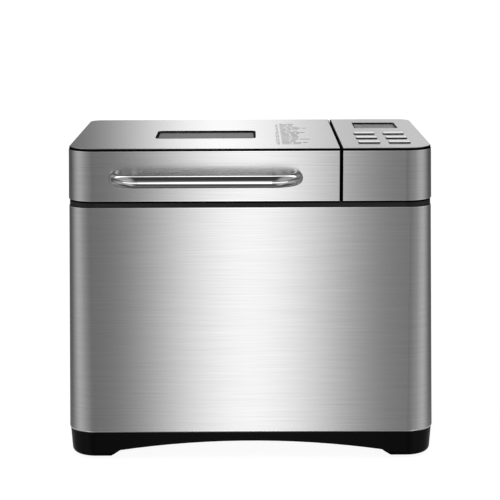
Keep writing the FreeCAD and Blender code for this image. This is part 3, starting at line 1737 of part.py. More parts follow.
def lid_liner():
    body = new_body("lid_liner")
    half_x = "(chamber_length / 2 + liner_margin)"
    half_y = "(chamber_depth / 2 + liner_margin)"
    radius = "chamber_radius + liner_margin"
    low = "liner_flange_level"
    block(
        body,
        f"chamber_x - {half_x} - liner_gauge",
        f"chamber_x + {half_x} + liner_gauge",
        f"-{half_y} - liner_gauge",
        f"{half_y} + liner_gauge",
        low,
        "liner_top",
        f"{radius} + liner_gauge",
    )
    left = lid_half("lid_width", low, f"{FRAME_INSET} + wall + liner_gap")
    front = lid_half("lid_depth", low, f"{FRAME_INSET} + wall + liner_gap")
    right = "lid_right - wall - liner_gap"
    corner = f"corner_radius - ({FRAME_INSET} + wall)"
    block(body, f"-{left}", right, f"-{front}", "liner_rear_flange", low, f"({low} + liner_gauge)", corner)
    hollow(
        body,
        f"chamber_x - {half_x}",
        f"chamber_x + {half_x}",
        f"-{half_y}",
        half_y,
        f"({low} - {PAST})",
        "(liner_top - liner_gauge)",
        radius,
    )
    window_hole(body, "-inner_pane_ledge", "(liner_top - 2 * liner_gauge)", f"(liner_top + {PAST})")
    return finish(body, "lid_liner")


def lid_seal():
    body = new_body("lid_seal")
    low = f"({DECK_TOP} + chamber_flange_thickness + seal_gap)"
    for add, margin in ((block, "seal_margin + seal_width"), (hollow, "seal_margin")):
        half_x = f"(chamber_length / 2 + {margin})"
        half_y = f"(chamber_depth / 2 + {margin})"
        add(
            body,
            f"chamber_x - {half_x}",
            f"chamber_x + {half_x}",
            f"-{half_y}",
            half_y,
            low,
            "liner_flange_level",
            f"chamber_radius + {margin}",
        )
    return finish(body, "lid_seal")


def lid_handle():
    face = f"({HANDLE_FACE} + fit_gap)"
    bar = f"({HANDLE_FACE} + handle_standoff)"
    left = "handle_x - handle_span / 2"
    right = "handle_x + handle_span / 2"
    points = [(left, f"-{face}"), (left, f"-{bar}"), (right, f"-{bar}"), (right, f"-{face}")]
    body = bent_rod("lid_handle", "handle_level", points, "handle_bend", "handle_diameter")
    bores = new_sketch(body, "XZ_Plane")
    for x in (left, right):
        circle(bores, "handle_screw_diameter + 2 * running_gap", x, "handle_level")
    pocket(body, bores, f"{face} + handle_screw_length", reverse=True)
    return finish(body, "lid_handle")


def handle_screws():
    screws = []
    for sign in ("-", "+"):
        x = f"handle_x {sign} handle_span / 2"
        seat = f"-({HANDLE_FACE} - {FRAME_INSET} - wall - 2 * fit_gap)"
        end = f"{seat} - handle_screw_length"
        length = "handle_screw_length + handle_screw_head_height / 2"
        head = rod("handle_screw_head", "handle_screw_head_height", x, seat, "handle_level", ALONG_Y)
        shank = rod("handle_screw_diameter", length, x, end, "handle_level", ALONG_Y)
        screws.append(fuse(head, shank))
    return finish(group(screws), "handle_screws")


# Control section


def control_skirt():
    body = new_body("control_skirt")
    high = f"({SKIRT_TOP} - fit_gap)"
    drafted_solid(body, lid_half, LID_BOTTOM, high, "0")
    drafted_hollow(body, lid_half, f"({LID_BOTTOM} - {PAST})", f"({high} + {PAST})", "skin")
    cut_beyond(body, "left", "control_skin_left")
    return finish(body, "control_skirt")


BUTTONS = [
    ("menu_button", "-", "+"),
    ("size_button", "-", ""),
    ("colour_button", "-", "-"),
    ("time_up_button", "+", "+"),
    ("time_down_button", "+", ""),
    ("start_button", "+", "-"),
]


def button_centre(column, line):
    x = f"button_x {column} button_column_pitch / 2"
    y = f"button_y {line} button_row_pitch" if line else "button_y"
    return x, y


def button_openings(body, low, high):
    for name, column, line in BUTTONS:
        x, y = button_centre(column, line)
        hollow(
            body,
            f"{x} - button_length / 2 - button_gap",
            f"{x} + button_length / 2 + button_gap",
            f"{y} - button_depth / 2 - button_gap",
            f"{y} + button_depth / 2 + button_gap",
            low,
            high,
            "opening_radius",
        )


def display_opening(body, low, high):
    return hollow(
        body,
        "display_x - display_length / 2",
        "display_x + display_length / 2",
        "display_y - display_depth / 2",
        "display_y + display_depth / 2",
        low,
        high,
        "opening_radius",
    )


def control_housing():
    body = new_body("control_housing")
    drafted_solid(body, lid_half, DECK_TOP, SKIRT_TOP, FRAME_INSET)
    drafted_solid(body, lid_half, SKIRT_TOP, PLATE_BOTTOM, "trim_inset")
    cut_beyond(body, "left", "control_left")
    inside = new_sketch(body, "XY_Plane", DECK_TOP)
    right = lid_half("lid_width", DECK_TOP, f"{FRAME_INSET} + wall")
    along = lid_half("lid_depth", DECK_TOP, f"{FRAME_INSET} + wall")
    corners = corners_at(f"{FRAME_INSET} + wall")
    rounded_rectangle(inside, "control_left + wall", right, f"-{along}", along, *corners)
    pocket(body, inside, f"{TOP_WALL_BOTTOM} - {DECK_TOP}", taper="-draft", reverse=True)
    posts = new_sketch(body, "XY_Plane", BOARD_TOP)
    for x, y in board_post_places():
        circle(posts, "control_post", x, y)
    pad(body, posts, f"{TOP_WALL_BOTTOM} - {BOARD_TOP} + top_wall / 2")
    button_openings(body, BOARD_TOP, f"(total_height + {PAST})")
    display_opening(body, BOARD_TOP, f"(total_height + {PAST})")
    return finish(body, "control_housing")


CONTROL_BOARD_LEFT = "(control_left + control_board_margin)"
CONTROL_BOARD_RIGHT = f"({CONTROL_BOARD_LEFT} + control_board_width)"


def board_post_places():
    columns = (f"{CONTROL_BOARD_LEFT} + control_post_margin", f"{CONTROL_BOARD_RIGHT} - control_post_margin")
    rows = ("control_board_front + control_post_margin", "control_board_rear - control_post_margin")
    return [(x, y) for x in columns for y in rows]


def control_fascia():
    body = new_body("control_fascia")
    drafted_solid(body, lid_half, PLATE_BOTTOM, "total_height", "plate_inset")
    cut_beyond(body, "left", "control_skin_left")
    button_openings(body, f"({PLATE_BOTTOM} - {PAST})", f"(total_height + {PAST})")
    display_opening(body, f"({PLATE_BOTTOM} - {PAST})", f"(total_height + {PAST})")
    return finish(body, "control_fascia")


def control_board():
    body = new_body("control_board")
    block(
        body,
        CONTROL_BOARD_LEFT,
        CONTROL_BOARD_RIGHT,
        "control_board_front",
        "control_board_rear",
        "control_board_level",
        BOARD_TOP,
        "control_post_margin",
    )
    return finish(body, "control_board")


SWITCH_TOP = f"({TOP_WALL_BOTTOM} - switch_drop)"


def tact_switches():
    switches = []
    case_top = f"({SWITCH_TOP} - plunger_height)"
    for name, column, line in BUTTONS:
        x, y = button_centre(column, line)
        case = box(
            f"{x} - switch_size / 2",
            f"{x} + switch_size / 2",
            f"{y} - switch_size / 2",
            f"{y} + switch_size / 2",
            BOARD_TOP,
            case_top,
        )
        plunger = rod("plunger_diameter", "2 * plunger_height", x, y, f"{case_top} - plunger_height")
        switches.append(fuse(case, plunger))
    return finish(group(switches), "tact_switches")


def display_module():
    body = new_body("display_module")
    block(
        body,
        "display_x - display_length / 2 - module_margin",
        "display_x + display_length / 2 + module_margin",
        "display_y - display_depth / 2 - module_margin",
        "display_y + display_depth / 2 + module_margin",
        BOARD_TOP,
        f"({TOP_WALL_BOTTOM} - fit_gap)",
        "opening_radius",
    )
    return finish(body, "display_module")


def display_lens():
    body = new_body("display_lens")
    block(
        body,
        "display_x - display_length / 2 + fit_gap",
        "display_x + display_length / 2 - fit_gap",
        "display_y - display_depth / 2 + fit_gap",
        "display_y + display_depth / 2 - fit_gap",
        TOP_WALL_BOTTOM,
        "(total_height - display_recess)",
        "opening_radius",
    )
    return finish(body, "display_lens")


def push_button(name, column, line):
    body = new_body(name)
    half_x = "button_length / 2"
    half_y = "button_depth / 2"
    flange_top = f"({TOP_WALL_BOTTOM} - button_gap)"
    flange_low = f"({flange_top} - button_flange_height)"
    crown = "(total_height + button_proud)"
    block(body, f"-{half_x}", half_x, f"-{half_y}", half_y, flange_low, crown, "button_radius")
    round_edges(body, "button_rounding", edge_lies_at(crown))
    block(
        body,
        f"-{half_x} - button_flange",
        f"{half_x} + button_flange",
        f"-{half_y} - button_flange",
        f"{half_y} + button_flange",
        flange_low,
        flange_top,
        "button_radius",
    )
    stem_low = f"({SWITCH_TOP} + button_travel + button_idle_gap)"
    stem = new_sketch(body, "XY_Plane", stem_low)
    circle(stem, "button_stem")
    pad(body, stem, f"{flange_low} - {stem_low} + button_flange_height / 2")
    x, y = button_centre(column, line)
    return finish(body, name, x=x, y=y)


def build():
    base_tray()
    rubber_feet()
    body_wrap()
    rear_panel()
    rear_screws()
    cord_gland()
    top_frame()
    hinge_pins()
    oven_chamber()
    heating_element()
    element_brackets()
    temperature_sensor()
    pan_seat()
    pan_clips()
    chassis_plate()
    chassis_screws()
    main_bearing()
    motor()
    drive_belt()
    motor_capacitor()
    heat_shield()
    power_board()
    control_housing()
    control_skirt()
    control_fascia()
    control_board()
    tact_switches()
    display_module()
    display_lens()
    lid_frame()
    lid_skirt()
    lid_top_plate()
    lid_liner()
    lid_seal()
    window_bezel()
    window_glass()
    inner_glass()
    lid_handle()
    handle_screws()
    bread_pan()
    pan_foot_ring()
    pan_ears()
    pan_bearing()
    pan_shaft_seal()
    pan_bail()
    pan_shaft()
    drive_dog()
    kneading_paddle()
    drive_shaft()
    drive_cup()
    large_pulley()
    motor_shaft()
    motor_pulley()
    motor_fan()
    for name, column, line in BUTTONS:
        push_button(name, column, line)


def check():
    """Stop if anything in the document failed."""
    doc.recompute()
    for item in doc.Objects:
        if "Invalid" in item.State or "Error" in item.State:
            raise RuntimeError(f"{item.Label} ({item.Name}) failed: {item.State}")
    for item in SUBPARTS:
        if item.Shape.isNull() or not item.Shape.isValid():
            raise RuntimeError(f"{item.Label} has no valid shape")


def export():
    os.makedirs("parts", exist_ok=True)
    for item in SUBPARTS:
        item.Shape.exportStep(f"parts/{item.Label}.step")
    print(len(SUBPARTS), "sub-parts written")


build()
check()
export()
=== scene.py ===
import math
import random

import bmesh
import bpy
from mathutils import Matrix, Vector


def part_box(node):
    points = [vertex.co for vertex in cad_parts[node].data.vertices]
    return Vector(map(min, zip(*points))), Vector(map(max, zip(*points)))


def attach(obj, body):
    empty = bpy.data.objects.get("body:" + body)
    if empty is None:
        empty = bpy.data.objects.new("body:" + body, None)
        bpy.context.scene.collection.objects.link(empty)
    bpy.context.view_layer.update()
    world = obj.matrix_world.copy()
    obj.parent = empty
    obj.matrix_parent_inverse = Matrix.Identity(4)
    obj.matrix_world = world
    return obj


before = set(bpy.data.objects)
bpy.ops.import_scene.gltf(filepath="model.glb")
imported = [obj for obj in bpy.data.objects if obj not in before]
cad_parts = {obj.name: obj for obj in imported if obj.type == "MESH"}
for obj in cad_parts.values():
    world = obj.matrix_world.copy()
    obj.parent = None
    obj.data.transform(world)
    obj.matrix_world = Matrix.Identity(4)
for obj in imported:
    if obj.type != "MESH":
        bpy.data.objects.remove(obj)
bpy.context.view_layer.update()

MM = 0.001
WHITE = (1.0, 1.0, 1.0)
scene = bpy.context.scene

# Camera: in front of the machine and above it, looking a little down.
LENS_MM = 112.69
SENSOR_MM = 36.0
CAMERA_PLACE = (0.0009, -1.5859, 0.5017)
CAMERA_TILT_DOWN = math.radians(11.166)
CAMERA_ROLL = math.radians(0.22)

# The floor: how bright the camera sees it, its own colour, and half its width.
FLOOR_GLOW = 0.94
FLOOR_COLOUR = (0.12, 0.12, 0.12)
FLOOR_HALF = 14.0

# Light on matt surfaces: an even level, and one large lamp above and to the front left.
AMBIENT = 0.7
KEY_ENERGY = 12.0
KEY_PLACE = (-0.5, -1.0, 1.9)
KEY_AIM = (0.0, 0.0, 0.15)
KEY_SIZE = 1.6
# Soft panels that each light only the nodes named with them: a ceiling over the top plates, and wide strips
# along the handle. Each has a name, its place, the point it faces, its width and depth, and its energy.
PANELS = (
    ("ceiling", (0.0, 0.0, 1.6), (0.0, 0.0, 0.3), 1.8, 1.8, 4.6, ("lid_top_plate", "control_fascia")),
    ("front_strip", (-0.04, -0.68, 0.165), (-0.04, -0.16, 0.165), 2.1, 0.24, 2.3, ("lid_handle",)),
    ("rear_strip", (-0.04, 0.3, 0.93), (-0.04, -0.155, 0.275), 2.0, 0.24, 2.6, ("lid_handle",)),
)

# What polished surfaces see of the studio. Each soft light has the side it is measured from, its azimuth,
# its reach to either side, its lowest and highest angle and the width of its soft edges, all in degrees,
# and its strength.
STUDIO_BASE = 0.06
STUDIO_LIGHTS = (
    # The bright stripe down the middle of the front, and the tone on both sides of it.
    ("front", -0.08, 5.6, -31.0, 12.0, 6.0, 1.305),
    ("front", 0.0, 150.0, -50.0, 30.0, 15.0, 0.147),
    ("front", 4.9, 3.6, -50.0, 30.0, 15.0, 0.055),
    # The rounded corners.
    ("front", -26.0, 20.0, -50.0, 30.0, 15.0, 0.05),
    ("front", 26.0, 22.0, -50.0, 30.0, 15.0, 0.075),
    ("front", -74.0, 56.0, -34.0, 4.0, 8.0, 0.425),
    ("front", 76.0, 56.0, -34.0, 4.0, 8.0, 0.44),
    # The bends of the handle.
    ("front", -50.0, 36.0, 10.0, 30.0, 5.0, 0.5),
    ("front", 50.0, 36.0, 10.0, 30.0, 5.0, 0.2),
    # The top plates, seen from the front.
    ("rear", -1.1, 6.0, 6.0, 56.0, 5.0, 1.5),
    ("rear", 6.4, 7.0, 6.0, 56.0, 5.0, 0.75),
    ("rear", 0.0, 90.0, 6.0, 60.0, 6.0, 0.16),
    # Undersides, from all round.
    ("front", 0.0, 720.0, -110.0, -70.0, 6.0, 0.16),
    # The walls, seen from the sides and from above.
    ("front", -42.0, 28.0, -64.0, -23.0, 4.0, 0.45),
    ("front", 42.0, 28.0, -64.0, -23.0, 4.0, 0.45),
    ("front", -140.0, 50.0, -64.0, -20.0, 4.0, 0.5),
    ("front", 140.0, 50.0, -64.0, -20.0, 4.0, 0.5),
    ("front", -140.0, 50.0, -24.0, -6.0, 4.0, 0.08),
    ("front", 140.0, 50.0, -24.0, -6.0, 4.0, 0.08),
    # The top plates, seen from the sides.
    ("rear", -42.0, 28.0, 23.0, 64.0, 4.0, 0.25),
    ("rear", 42.0, 28.0, 23.0, 64.0, 4.0, 0.25),
)
# Broad panels over both flanks, which leave the middle of the ceiling dark: their strength, how far a
# direction has to point sideways for them to start and to be full, and the heights in degrees between
# which they rise.
FLANK_PANEL = 0.42
FLANK_START = 0.22
FLANK_FULL = 0.5
FLANK_LOW = 12.0
FLANK_HIGH = 34.0

# The printed list on the lid: its rows from rear to front, with a number and bars in each.
INK_THICKNESS = 0.04 * MM
MENU_SEED = 7
MENU_ROWS = 19
MENU_PITCH = 9.2 * MM
MENU_REAR = 88.0 * MM
MENU_NUMBER_END = 29.0 * MM
MENU_BARS = 31.5 * MM
MENU_ENDS = (44.0 * MM, 62.0 * MM)
MENU_SHORTEST = 4.0 * MM
MENU_LONGEST = 11.0 * MM
MENU_SPACE = 1.4 * MM
MENU_BAR_HEIGHT = 2.6 * MM
MENU_INK = ((0.03, 0.03, 0.032), (0.05, 0.05, 0.052))
DIGIT_HEIGHT = 4.2 * MM
DIGIT_WIDTH = 1.8 * MM
DIGIT_GAP = 0.7 * MM
STROKE = 0.45 * MM
# Each stroke of a digit has its place across, in digit widths, and its lowest and highest place, in half
# digit heights. A level stroke goes all the way across.
STROKE_PLACES = {
    "top": (None, 2.0, 2.0),
    "middle": (None, 1.0, 1.0),
    "bottom": (None, 0.0, 0.0),
    "upper_left": (0.0, 1.0, 2.0),
    "upper_right": (1.0, 1.0, 2.0),
    "lower_left": (0.0, 0.0, 1.0),
    "lower_right": (1.0, 0.0, 1.0),
}
RIGHT_SIDE = ("upper_right", "lower_right")
LEFT_SIDE = ("upper_left", "lower_left")
LEVEL_STROKES = ("top", "middle", "bottom")
DIGIT_STROKES = {
    "0": RIGHT_SIDE + LEFT_SIDE + ("top", "bottom"),
    "1": RIGHT_SIDE,
    "2": LEVEL_STROKES + ("upper_right", "lower_left"),
    "3": LEVEL_STROKES + RIGHT_SIDE,
    "4": RIGHT_SIDE + ("upper_left", "middle"),
    "5": LEVEL_STROKES + ("upper_left", "lower_right"),
    "6": LEVEL_STROKES + LEFT_SIDE + ("lower_right",),
    "7": RIGHT_SIDE + ("top",),
    "8": LEVEL_STROKES + RIGHT_SIDE + LEFT_SIDE,
    "9": LEVEL_STROKES + RIGHT_SIDE + ("upper_left",),
}

# The printed border of the display.
MASK_WIDTH = 1.6 * MM
MASK_RADIUS = 2.0 * MM
MASK_INK = ((0.003, 0.003, 0.003), (0.006, 0.006, 0.006))
CORNER_STEPS = 6

# The part of a noise's range over which a pattern goes from one end to the other.
NOISE_RANGE = (0.3, 0.7)
STEEL_RANGE = (0.25, 0.75)
SPECK_RANGE = (0.6, 0.78)
TRACK_RANGE = (0.46, 0.52)
WHOLE_RANGE = (0.0, 1.0)

# Brushed steel: its colours, its roughness, and the noise per metre along the brush lines with what is added
# across them, for fine streaks and for broad bands.
STEEL_DARK = (0.613, 0.613, 0.615)
STEEL_LIGHT = (0.707, 0.707, 0.707)
WALL_ROUGHNESS = 0.14
TOP_ROUGHNESS = 0.18
STREAKS_ALONG = 16.0
STREAKS_ACROSS = 3000.0
BANDS_ALONG = 3.0
BANDS_ACROSS = 260.0
BAND_SHARE = 0.04
MEAN_NOISE = 0.5
# Painted highlights along the ends of the sheet metal, in place of the light that their edges catch: their
# tone, how far they reach, and how far above the sheet's end the lowest one stands.
EDGE_HIGHLIGHT_TONE = (0.97, 0.97, 0.97)
HIGHLIGHT_REACH = 0.9 * MM
HEM_RISE = 1.5 * MM

# Colours of the other finishes that occur once.
CHROME_DARK = (0.58, 0.58, 0.585)
CHROME_LIGHT = (0.63, 0.63, 0.635)
NONSTICK_DARK = (0.048, 0.048, 0.051)
NONSTICK_SPECK = (0.24, 0.24, 0.245)
DISPLAY_DARK = (0.19, 0.197, 0.19)
DISPLAY_LIGHT = (0.225, 0.232, 0.225)
BOARD_DARK = (0.02, 0.09, 0.04)
BOARD_LIGHT = (0.035, 0.14, 0.06)
# Black painted on a button's sides below its silver top, as the shade on them.
BUTTON_SIDE_SHADE = (0.008, 0.008, 0.008)
BUTTON_SILVER = (0.93, 0.93, 0.93)
# How far below a button's top its silver paint ends and is full, and the shade of the darkest flakes in it.
PAINT_END = 0.55 * MM
PAINT_FULL = 0.4 * MM
FLAKE_SHADE = 0.9

# Plastics and rubber: name, dark and light colour, roughness, specular level, and the nodes made of it.
PLASTICS = (
    ("satin_moulding", (0.002, 0.002, 0.0021), (0.003, 0.003, 0.0032), 0.22, 0.09, ("base_tray",)),
    ("back_moulding", (0.014, 0.014, 0.0145), (0.021, 0.021, 0.0215), 0.48, 0.45,
     ("rear_panel", "cord_gland", "tact_switches")),
    ("matt_moulding", (0.003, 0.003, 0.0032), (0.005, 0.005, 0.0053), 0.7, 0.01,
     ("lid_frame", "control_housing", "window_bezel")),
    ("seam_moulding", (0.005, 0.005, 0.0053), (0.008, 0.008, 0.0085), 0.36, 0.45, ("top_frame",)),
    ("black_rubber", (0.012, 0.012, 0.012), (0.02, 0.02, 0.02), 0.75, 0.2,
     ("rubber_feet", "lid_seal", "drive_belt", "pan_shaft_seal")),
    ("natural_nylon", (0.62, 0.61, 0.57), (0.7, 0.69, 0.65), 0.5, 0.35,
     ("large_pulley", "motor_pulley", "motor_fan")),
)
# Other metals: name, dark and light colour, roughness, mottling per metre, and the nodes made of it.
METALS = (
    ("zinc_plate", (0.5, 0.5, 0.49), (0.64, 0.64, 0.63), 0.3, 300.0,
     ("handle_screws", "rear_screws", "chassis_screws", "hinge_pins", "drive_shaft", "motor_shaft",
      "pan_bail", "pan_ears", "pan_shaft")),
    ("aluminised_sheet", (0.42, 0.42, 0.41), (0.56, 0.56, 0.55), 0.42, 90.0,
     ("oven_chamber", "heat_shield", "chassis_plate", "element_brackets", "pan_clips")),
    ("satin_aluminium", (0.6, 0.6, 0.6), (0.7, 0.7, 0.7), 0.36, 300.0, ("lid_liner",)),
    ("oxidised_sheath", (0.06, 0.058, 0.056), (0.13, 0.125, 0.12), 0.55, 300.0,
     ("heating_element", "temperature_sensor")),
    ("die_cast", (0.42, 0.42, 0.42), (0.54, 0.54, 0.54), 0.46, 700.0,
     ("main_bearing", "pan_seat", "drive_cup", "drive_dog", "pan_foot_ring", "pan_bearing")),
    ("motor_can", (0.24, 0.25, 0.26), (0.34, 0.35, 0.37), 0.45, 300.0, ("motor", "motor_capacitor")),
)
# Glass: name, dark and light colour, share of light let through, refraction index, and the nodes made of it.
PANES = (
    ("smoked_pane", (0.055, 0.056, 0.058), (0.07, 0.071, 0.073), 0.5, 1.04, ("window_glass", "inner_glass")),
    ("display_pane", (0.8, 0.81, 0.8), (0.84, 0.85, 0.84), 1.0, 1.06, ("display_lens",)),
)


def opaque(colour):
    """The colour with full opacity, as sockets and colour ramps take it."""
    return (*colour, 1.0)


def feed(tree, socket, value):
    """Sets a socket to a plain value, or joins it to another node's output."""
    if isinstance(value, bpy.types.NodeSocket):
        tree.links.new(value, socket)
    else:
        socket.default_value = value


def math_node(tree, operation, *values):
    """One arithmetic step of a node tree."""
    node = tree.nodes.new("ShaderNodeMath")
    node.operation = operation
    for socket, value in zip(node.inputs, values):
        feed(tree, socket, value)
    return node.outputs[0]


def smooth_step(tree, value, low, high, to_low=0.0, to_high=1.0):
    """A soft step from to_low to to_high as value goes from low to high."""
    node = tree.nodes.new("ShaderNodeMapRange")
    node.interpolation_type = "SMOOTHSTEP"
    feed(tree, node.inputs["Value"], value)
    node.inputs["From Min"].default_value = low
    node.inputs["From Max"].default_value = high
    node.inputs["To Min"].default_value = to_low
    node.inputs["To Max"].default_value = to_high
    return node.outputs["Result"]


def degrees(tree, value):
    """An angle in degrees."""
    return math_node(tree, "DEGREES", value)


def hump(tree, value, centre, reach):
    """1 where value is centre, falling softly to 0 at reach on both sides."""
    offset = math_node(tree, "ABSOLUTE", math_node(tree, "SUBTRACT", value, centre))
    return smooth_step(tree, offset, 0.0, reach, 1.0, 0.0)


def window(tree, value, low, high, edge):
    """1 between low and high, 0 outside, with soft edges."""
    rise = smooth_step(tree, value, low - edge, low + edge)
    fall = smooth_step(tree, value, high - edge, high + edge, 1.0, 0.0)
    return math_node(tree, "MULTIPLY", rise, fall)


def studio_world():
    """White to the camera, a plain level for matt surfaces, and soft lights for polished ones."""
    world = bpy.data.worlds.new("studio")
    world.use_nodes = True
    world.cycles.sampling_method = "NONE"
    scene.world = world
    tree = world.node_tree
    path = tree.nodes.new("ShaderNodeLightPath").outputs
    direction = tree.nodes.new("ShaderNodeSeparateXYZ")
    tree.links.new(tree.nodes.new("ShaderNodeTexCoord").outputs["Generated"], direction.inputs[0])
    x, y, z = direction.outputs
    azimuth = {
        "front": degrees(tree, math_node(tree, "ARCTAN2", x, math_node(tree, "MULTIPLY", y, -1.0))),
        "rear": degrees(tree, math_node(tree, "ARCTAN2", x, y)),
    }
    height = degrees(tree, math_node(tree, "ARCSINE", z))
    total = STUDIO_BASE
    for side, centre, reach, low, high, edge, strength in STUDIO_LIGHTS:
        lobe = hump(tree, azimuth[side], centre, reach)
        lobe = math_node(tree, "MULTIPLY", lobe, window(tree, height, low, high, edge))
        total = math_node(tree, "MULTIPLY_ADD", lobe, strength, total)
    flank = smooth_step(tree, math_node(tree, "ABSOLUTE", x), FLANK_START, FLANK_FULL)
    flank = math_node(tree, "MULTIPLY", flank, smooth_step(tree, height, FLANK_LOW, FLANK_HIGH))
    total = math_node(tree, "MULTIPLY_ADD", flank, FLANK_PANEL, total)
    polished = math_node(tree, "MAXIMUM", path["Is Glossy Ray"], path["Is Transmission Ray"])
    matt = math_node(tree, "MULTIPLY", math_node(tree, "SUBTRACT", 1.0, polished), AMBIENT)
    level = math_node(tree, "MULTIPLY_ADD", polished, total, matt)
    unseen = math_node(tree, "SUBTRACT", 1.0, path["Is Camera Ray"])
    strength = math_node(tree, "MULTIPLY_ADD", unseen, level, path["Is Camera Ray"])
    background = tree.nodes["Background"]
    background.inputs["Color"].default_value = opaque(WHITE)
    tree.links.new(strength, background.inputs["Strength"])


def add_floor():
    """A wide pale floor that keeps the object's shadow."""
    mesh = bpy.data.meshes.new("floor")
    half = FLOOR_HALF
    corners = [(-half, -half, 0.0), (half, -half, 0.0), (half, half, 0.0), (-half, half, 0.0)]
    mesh.from_pydata(corners, [], [(0, 1, 2, 3)])
    floor = bpy.data.objects.new("floor", mesh)
    scene.collection.objects.link(floor)
    floor.visible_glossy = False
    material = bpy.data.materials.new("floor")
    material.use_nodes = True
    tree = material.node_tree
    tree.nodes.remove(tree.nodes["Principled BSDF"])
    diffuse = tree.nodes.new("ShaderNodeBsdfDiffuse")
    diffuse.inputs["Color"].default_value = opaque(FLOOR_COLOUR)
    glow = tree.nodes.new("ShaderNodeEmission")
    path = tree.nodes.new("ShaderNodeLightPath").outputs
    tree.links.new(math_node(tree, "MULTIPLY", path["Is Camera Ray"], FLOOR_GLOW), glow.inputs["Strength"])
    both = tree.nodes.new("ShaderNodeAddShader")
    tree.links.new(diffuse.outputs[0], both.inputs[0])
    tree.links.new(glow.outputs[0], both.inputs[1])
    tree.links.new(both.outputs[0], tree.nodes["Material Output"].inputs["Surface"])
    mesh.materials.append(material)


def add_lamp(name, place, aim, width, depth, energy):
    """A soft rectangular lamp at place that faces aim."""
    data = bpy.data.lights.new(name, "AREA")
    data.shape = "RECTANGLE"
    data.size = width
    data.size_y = depth
    data.energy = energy
    lamp = bpy.data.objects.new(name, data)
    lamp.location = place
    lamp.rotation_euler = (Vector(aim) - lamp.location).to_track_quat("-Z", "Y").to_euler()
    scene.collection.objects.link(lamp)
    return lamp


def add_key_light():
    """The large lamp that shapes matt surfaces and casts the shadow on the floor."""
    key = add_lamp("key", KEY_PLACE, KEY_AIM, KEY_SIZE, KEY_SIZE, KEY_ENERGY)
    key.visible_glossy = False


def add_panels():
    """The panels, each linked to the nodes that it lights."""
    for name, place, aim, width, depth, energy, lit in PANELS:
        linking = add_lamp(name, place, aim, width, depth, energy).light_linking
        linking.receiver_collection = bpy.data.collections.new(name)
        for node in lit:
            linking.receiver_collection.objects.link(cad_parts[node])


def add_camera():
    """The camera of the main picture."""
    data = bpy.data.cameras.new("camera")
    data.lens = LENS_MM
    data.sensor_width = SENSOR_MM
    camera = bpy.data.objects.new("camera", data)
    camera.location = CAMERA_PLACE
    camera.rotation_euler = (math.pi / 2 - CAMERA_TILT_DOWN, CAMERA_ROLL, 0.0)
    scene.collection.objects.link(camera)
    scene.camera = camera


def principled(name, colour, roughness, metallic=0.0, specular=0.5):
    """A new material with its shader's plain values set, which patterns may then vary."""
    material = bpy.data.materials.new(name)
    material.use_nodes = True
    tree = material.node_tree
    shader = tree.nodes["Principled BSDF"]
    shader.inputs["Base Color"].default_value = opaque(colour)
    shader.inputs["Roughness"].default_value = roughness
    shader.inputs["Metallic"].default_value = metallic
    shader.inputs["Specular IOR Level"].default_value = specular
    return material, tree, shader


def own_place(tree):
    """The place on a piece in its own axes."""
    return tree.nodes.new("ShaderNodeTexCoord").outputs["Object"]


def own_height(tree):
    """The height on a piece in its own axes."""
    place = tree.nodes.new("ShaderNodeSeparateXYZ")
    tree.links.new(own_place(tree), place.inputs[0])
    return place.outputs["Z"]


def stretched_noise(tree, scale, detail):
    """Noise in a piece's own axes, with a scale per metre along each of them."""
    stretch = tree.nodes.new("ShaderNodeMapping")
    stretch.inputs["Scale"].default_value = scale
    tree.links.new(own_place(tree), stretch.inputs["Vector"])
    texture = tree.nodes.new("ShaderNodeTexNoise")
    texture.inputs["Scale"].default_value = 1.0
    texture.inputs["Detail"].default_value = detail
    tree.links.new(stretch.outputs[0], texture.inputs["Vector"])
    return texture.outputs["Fac"]


def noise(tree, scale, detail):
    """Noise with the same scale per metre in all directions."""
    return stretched_noise(tree, (scale, scale, scale), detail)


def tint(tree, shader, factor, dark, light, span=NOISE_RANGE):
    """Colours the shader from dark to light as factor goes over span."""
    ramp = tree.nodes.new("ShaderNodeValToRGB")
    for element, position, colour in zip(ramp.color_ramp.elements, span, (dark, light)):
        element.position = position
        element.color = opaque(colour)
    tree.links.new(factor, ramp.inputs["Fac"])
    tree.links.new(ramp.outputs["Color"], shader.inputs["Base Color"])


def vary_roughness(tree, shader, factor, spread):
    """Lets the shader's roughness vary by spread to both sides of its plain value."""
    roughness = shader.inputs["Roughness"]
    plain = roughness.default_value
    tree.links.new(smooth_step(tree, factor, *NOISE_RANGE, plain - spread, plain + spread), roughness)


def emboss(tree, shader, factor, strength, depth):
    """Fine relief of the given depth in metres."""
    bump = tree.nodes.new("ShaderNodeBump")
    bump.inputs["Strength"].default_value = strength
    bump.inputs["Distance"].default_value = depth
    tree.links.new(factor, bump.inputs["Height"])
    tree.links.new(bump.outputs["Normal"], shader.inputs["Normal"])


def paint_edge_highlights(tree, shader, edges):
    """Lightens the shader's colour close to the given heights: painted highlights along the sheet's ends."""
    height = own_height(tree)
    near = 0.0
    for edge in edges:
        near = math_node(tree, "MAXIMUM", near, hump(tree, height, edge, HIGHLIGHT_REACH))
    mix = tree.nodes.new("ShaderNodeMixRGB")
    colour = shader.inputs["Base Color"]
    tree.links.new(near, mix.inputs["Fac"])
    tree.links.new(colour.links[0].from_socket, mix.inputs["Color1"])
    mix.inputs["Color2"].default_value = opaque(EDGE_HIGHLIGHT_TONE)
    tree.links.new(mix.outputs["Color"], colour)


